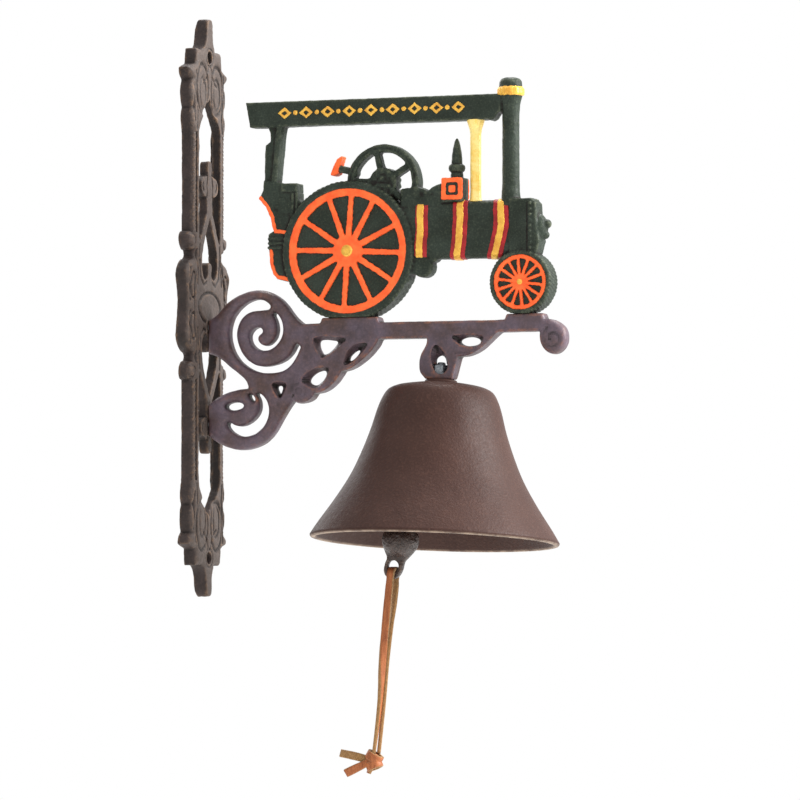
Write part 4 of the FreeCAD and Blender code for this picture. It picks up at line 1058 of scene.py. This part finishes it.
def make_bell():
    """Flared bell with a rolled lip, leaning on its seat as the lug does."""
    lip = [(65.75, -84.7), (65.3, -85.3), (64.3, -85.6), (63.4, -85.6)]
    boss = [(2.7, 0), (5.5, 0), (8.1, -0.02), (8.45, -0.25), (8.6, -0.9), (9.4, -1.35)]
    profile = boss + flowing(BELL_OUTER[3:], 6) + lip + flowing(BELL_INNER, 5)
    vertices, faces = lathe(profile, 220, 0.12)
    lowest = min(v[2] for v in vertices)
    # Pale band over the lowest 1.6 mm of the lip, kept as the edge value: painted highlight.
    worn = np.clip(1 - (vertices[:, 2] - lowest) / 1.6, 0, 1)
    place = np.array(SEAT_PLACE)
    vertices = vertices @ place[:3, :3].T + place[:3, 3]
    add_piece("bell_shell", vertices, faces, [BELL_BROWN], "bracket", ["bell"], shapes={"edge": worn})


def torus_field(block, height, radius, wire):
    """Ring standing in the XZ plane with its middle at a height."""
    return np.hypot(np.hypot(block.x, block.z - height) - radius, block.y) - wire


def make_eye_bolt():
    """Threaded bolt with a collar and a forged eye."""
    block = Block((-6.6, -4.4, -16.8), (6.6, 4.4, 10.2), 0.2)
    away = np.hypot(block.x, block.y)
    angle = np.arctan2(block.y, block.x)
    thread = 0.17 * np.cos(2 * math.pi * block.z / 0.8 - angle)
    shank = np.maximum(away - 2.27 - thread, np.maximum(-6 - block.z, block.z - 9.4 + 0.5 * (away > 1.9)))
    collar = prism(away - 3.6, np.abs(block.z + 6.2), 0.7, 0.35)
    eye = torus_field(block, -10.4, 4.2, 1.3)
    field = smooth_union(smooth_union(shank, collar, 0.4), eye, 1.2)
    add_casting("hanger_bolt", block, field, STEEL, "bracket", ["hanger_eye_bolt"], SEAT_PLACE)


def make_nut_and_washers():
    block = Block((-5.2, -5.2, 3.2), (5.2, 5.2, 8.6), 0.16)
    away = np.hypot(block.x, block.y)
    angle = np.mod(np.arctan2(block.y, block.x), math.pi / 3) - math.pi / 6
    flats = away * np.cos(angle) - 4.0
    height = block.z - 5.8
    body = prism(flats, np.abs(height), 2.0, 0.15)
    body = np.maximum(body, away + np.abs(height) * 0.9 - 5.9)
    field = np.maximum(body, 2.52 + 0.12 * np.cos(2 * math.pi * block.z / 0.8) - away)
    add_casting("hanger_hex_nut", block, field, STEEL, "bracket", ["hanger_nut"], SEAT_PLACE)
    for name, node, low in (("lug_washer", "hanger_washer", 2.8), ("inner_washer", "crown_washer", -5.5)):
        block = Block((-5.2, -5.2, low - 0.6), (5.2, 5.2, low + 1.6), 0.16)
        away = np.hypot(block.x, block.y)
        field = prism(np.maximum(away - 4.6, 2.7 - away), np.abs(block.z - low - 0.5), 0.5, 0.2)
        add_casting(name, block, field, STEEL, "bracket", [node], SEAT_PLACE)


def make_arm_screws():
    """Countersunk slotted screws behind the plate."""
    for name, height in (("upper", -11.0), ("lower", -63.0)):
        block = Block((-0.4, -5, height - 5), (15.4, 5, height + 5), 0.2)
        away = np.hypot(block.y, block.z - height)
        angle = np.arctan2(block.z - height, block.y)
        thread = 0.15 * np.cos(2 * math.pi * block.x / 0.8 - angle) * (block.x > 5)
        shank = np.maximum(away - 2.28 - thread, block.x - 14.8)
        head = np.maximum(away - 4.7 + block.x, block.x - 2.4)
        head = np.maximum(head, away - 4.4)
        slot = np.maximum(np.abs(block.z - height) - 0.6, block.x - 1.3)
        field = np.maximum(np.maximum(np.minimum(shank, head), 0.2 - block.x), -slot)
        add_casting(f"screw_{name}", block, field, STEEL, "bracket", [f"arm_screw_{name}"])


def make_link():
    """Closed wire ring across the bracket, with the weld standing proud on one side."""
    pivot = joint("clapper_swing")
    block = Block((-2, -6.4, -1.8), (2, 6.4, 11), 0.18)
    away = np.hypot(block.y, block.z - 4.6)
    wire = np.hypot(away - 4.6, block.x) - 1.1
    weld = np.sqrt(((block.y - 4.6) / 1.0) ** 2 + ((block.z - 4.6) / 1.5) ** 2 + block.x ** 2) - 1.22
    place = Matrix.Translation(pivot)
    add_casting("clapper_ring", block, smooth_union(wire, weld, 0.4), STEEL, "link", ["clapper_link"], place)


CLAPPER_REACH = 66.9
TAIL_BEND = -4.0
TAIL_REACH = 14.3


def make_clapper():
    """Cast clapper: eye, tapered stem, ball, and a flat pierced tail that bends a little outwards."""
    block = Block((-12.5, -11, -92), (12.5, 11, 6.4), 0.36)
    x, y, z = block.x, block.y, block.z
    eye = torus_field(block, -1.1, 4.0, 1.3)
    share = np.clip((-5.1 - z) / (CLAPPER_REACH - 12), 0, 1)
    stem = np.maximum(np.hypot(x, y) - 2.2 - 2.0 * share ** 1.6, np.maximum(z + 5.6, -CLAPPER_REACH - z))
    ball = np.sqrt(x * x + y * y + (z + CLAPPER_REACH) ** 2) - 9.7
    solid = smooth_union(smooth_union(eye, stem, 1.5), ball, 3.2)
    bend = math.radians(TAIL_BEND)
    drop = z + CLAPPER_REACH
    tail_x = x * math.cos(bend) - drop * math.sin(bend)
    tail_z = x * math.sin(bend) + drop * math.cos(bend)
    outline = flowing([(-7.6, -3), (-6.2, -7.6), (-4.7, -11), (-5.0, -14.2), (-4.6, -18), (-2.6, -20.6), (0, -21.1),
                       (2.6, -20.6), (4.6, -18), (5.2, -14.6), (5.2, -10.8), (6.6, -7.4), (7.6, -3)], 4)
    tail = prism(shape(tail_x, tail_z, [tuple(p) for p in outline]), np.abs(y), 1.95, 0.9)
    solid = smooth_union(solid, tail, 2.4)
    hole = np.hypot(tail_x, tail_z + TAIL_REACH) - 2.9 - 0.5 * np.clip(np.abs(y) - 1.1, 0, 1)
    solid = smooth_cut(solid, hole, 0.35)
    solid = solid + block.rough(4, 0.16, 41) + block.rough(1.4, 0.06, 42)
    place = Matrix.Translation(joint("clapper_swing")) @ Matrix.Rotation(math.radians(19.2), 4, "Y")
    add_casting("clapper_casting", block, solid, CLAPPER_IRON, "clapper", ["clapper"], place)


# ---------------------------------------------------------------- studio
def make_floor():
    s = Shader("floor_paint", roughness=0.6, specular=0.2)
    s.colour(s.mix(s.ramp(s.noise(400, 3), 0.3, 0.7), srgb("E4E4E2"), srgb("DEDEDC")))
    mesh = bpy.data.meshes.new("floor")
    reach, low = 2.4, -0.9
    mesh.from_pydata([(-reach, -reach, low), (reach, -reach, low), (reach, reach, low), (-reach, reach, low)], [],
                     [(0, 1, 2, 3)])
    mesh.materials.append(s.material)
    floor = bpy.data.objects.new("floor", mesh)
    bpy.context.scene.collection.objects.link(floor)


def soft_light(name, place, target, size, power):
    data = bpy.data.lights.new(name, "AREA")
    data.shape = "SQUARE"
    data.size = size
    data.energy = power
    made = bpy.data.objects.new(name, data)
    made.location = place
    made.rotation_euler = (Vector(target) - Vector(place)).to_track_quat("-Z", "Y").to_euler()
    bpy.context.scene.collection.objects.link(made)


def make_studio():
    """White surroundings, a large key light low on the right and slightly behind, and softer ones for the rims."""
    world = bpy.data.worlds.new("studio")
    world.use_nodes = True
    world.node_tree.nodes["Background"].inputs["Color"].default_value = (1, 1, 1, 1)
    world.node_tree.nodes["Background"].inputs["Strength"].default_value = 1.0
    bpy.context.scene.world = world
    bpy.context.scene.view_settings.view_transform = "Standard"
    middle = (0.1, 0, -0.03)
    soft_light("key", (1.9, 0.35, 0.9), middle, 1.3, 100)
    soft_light("top", (0.1, 0.6, 1.7), middle, 0.9, 40)
    soft_light("rim", (-1.5, 1.1, 0.9), middle, 0.9, 14)


make_camera()
make_thong()
make_back_plate()
make_bracket_arm()
make_engine_body()
make_engine_paint()
make_canopy_ornament()
make_bell()
make_eye_bolt()
make_nut_and_washers()
make_arm_screws()
make_link()
make_clapper()
make_floor()
make_studio()
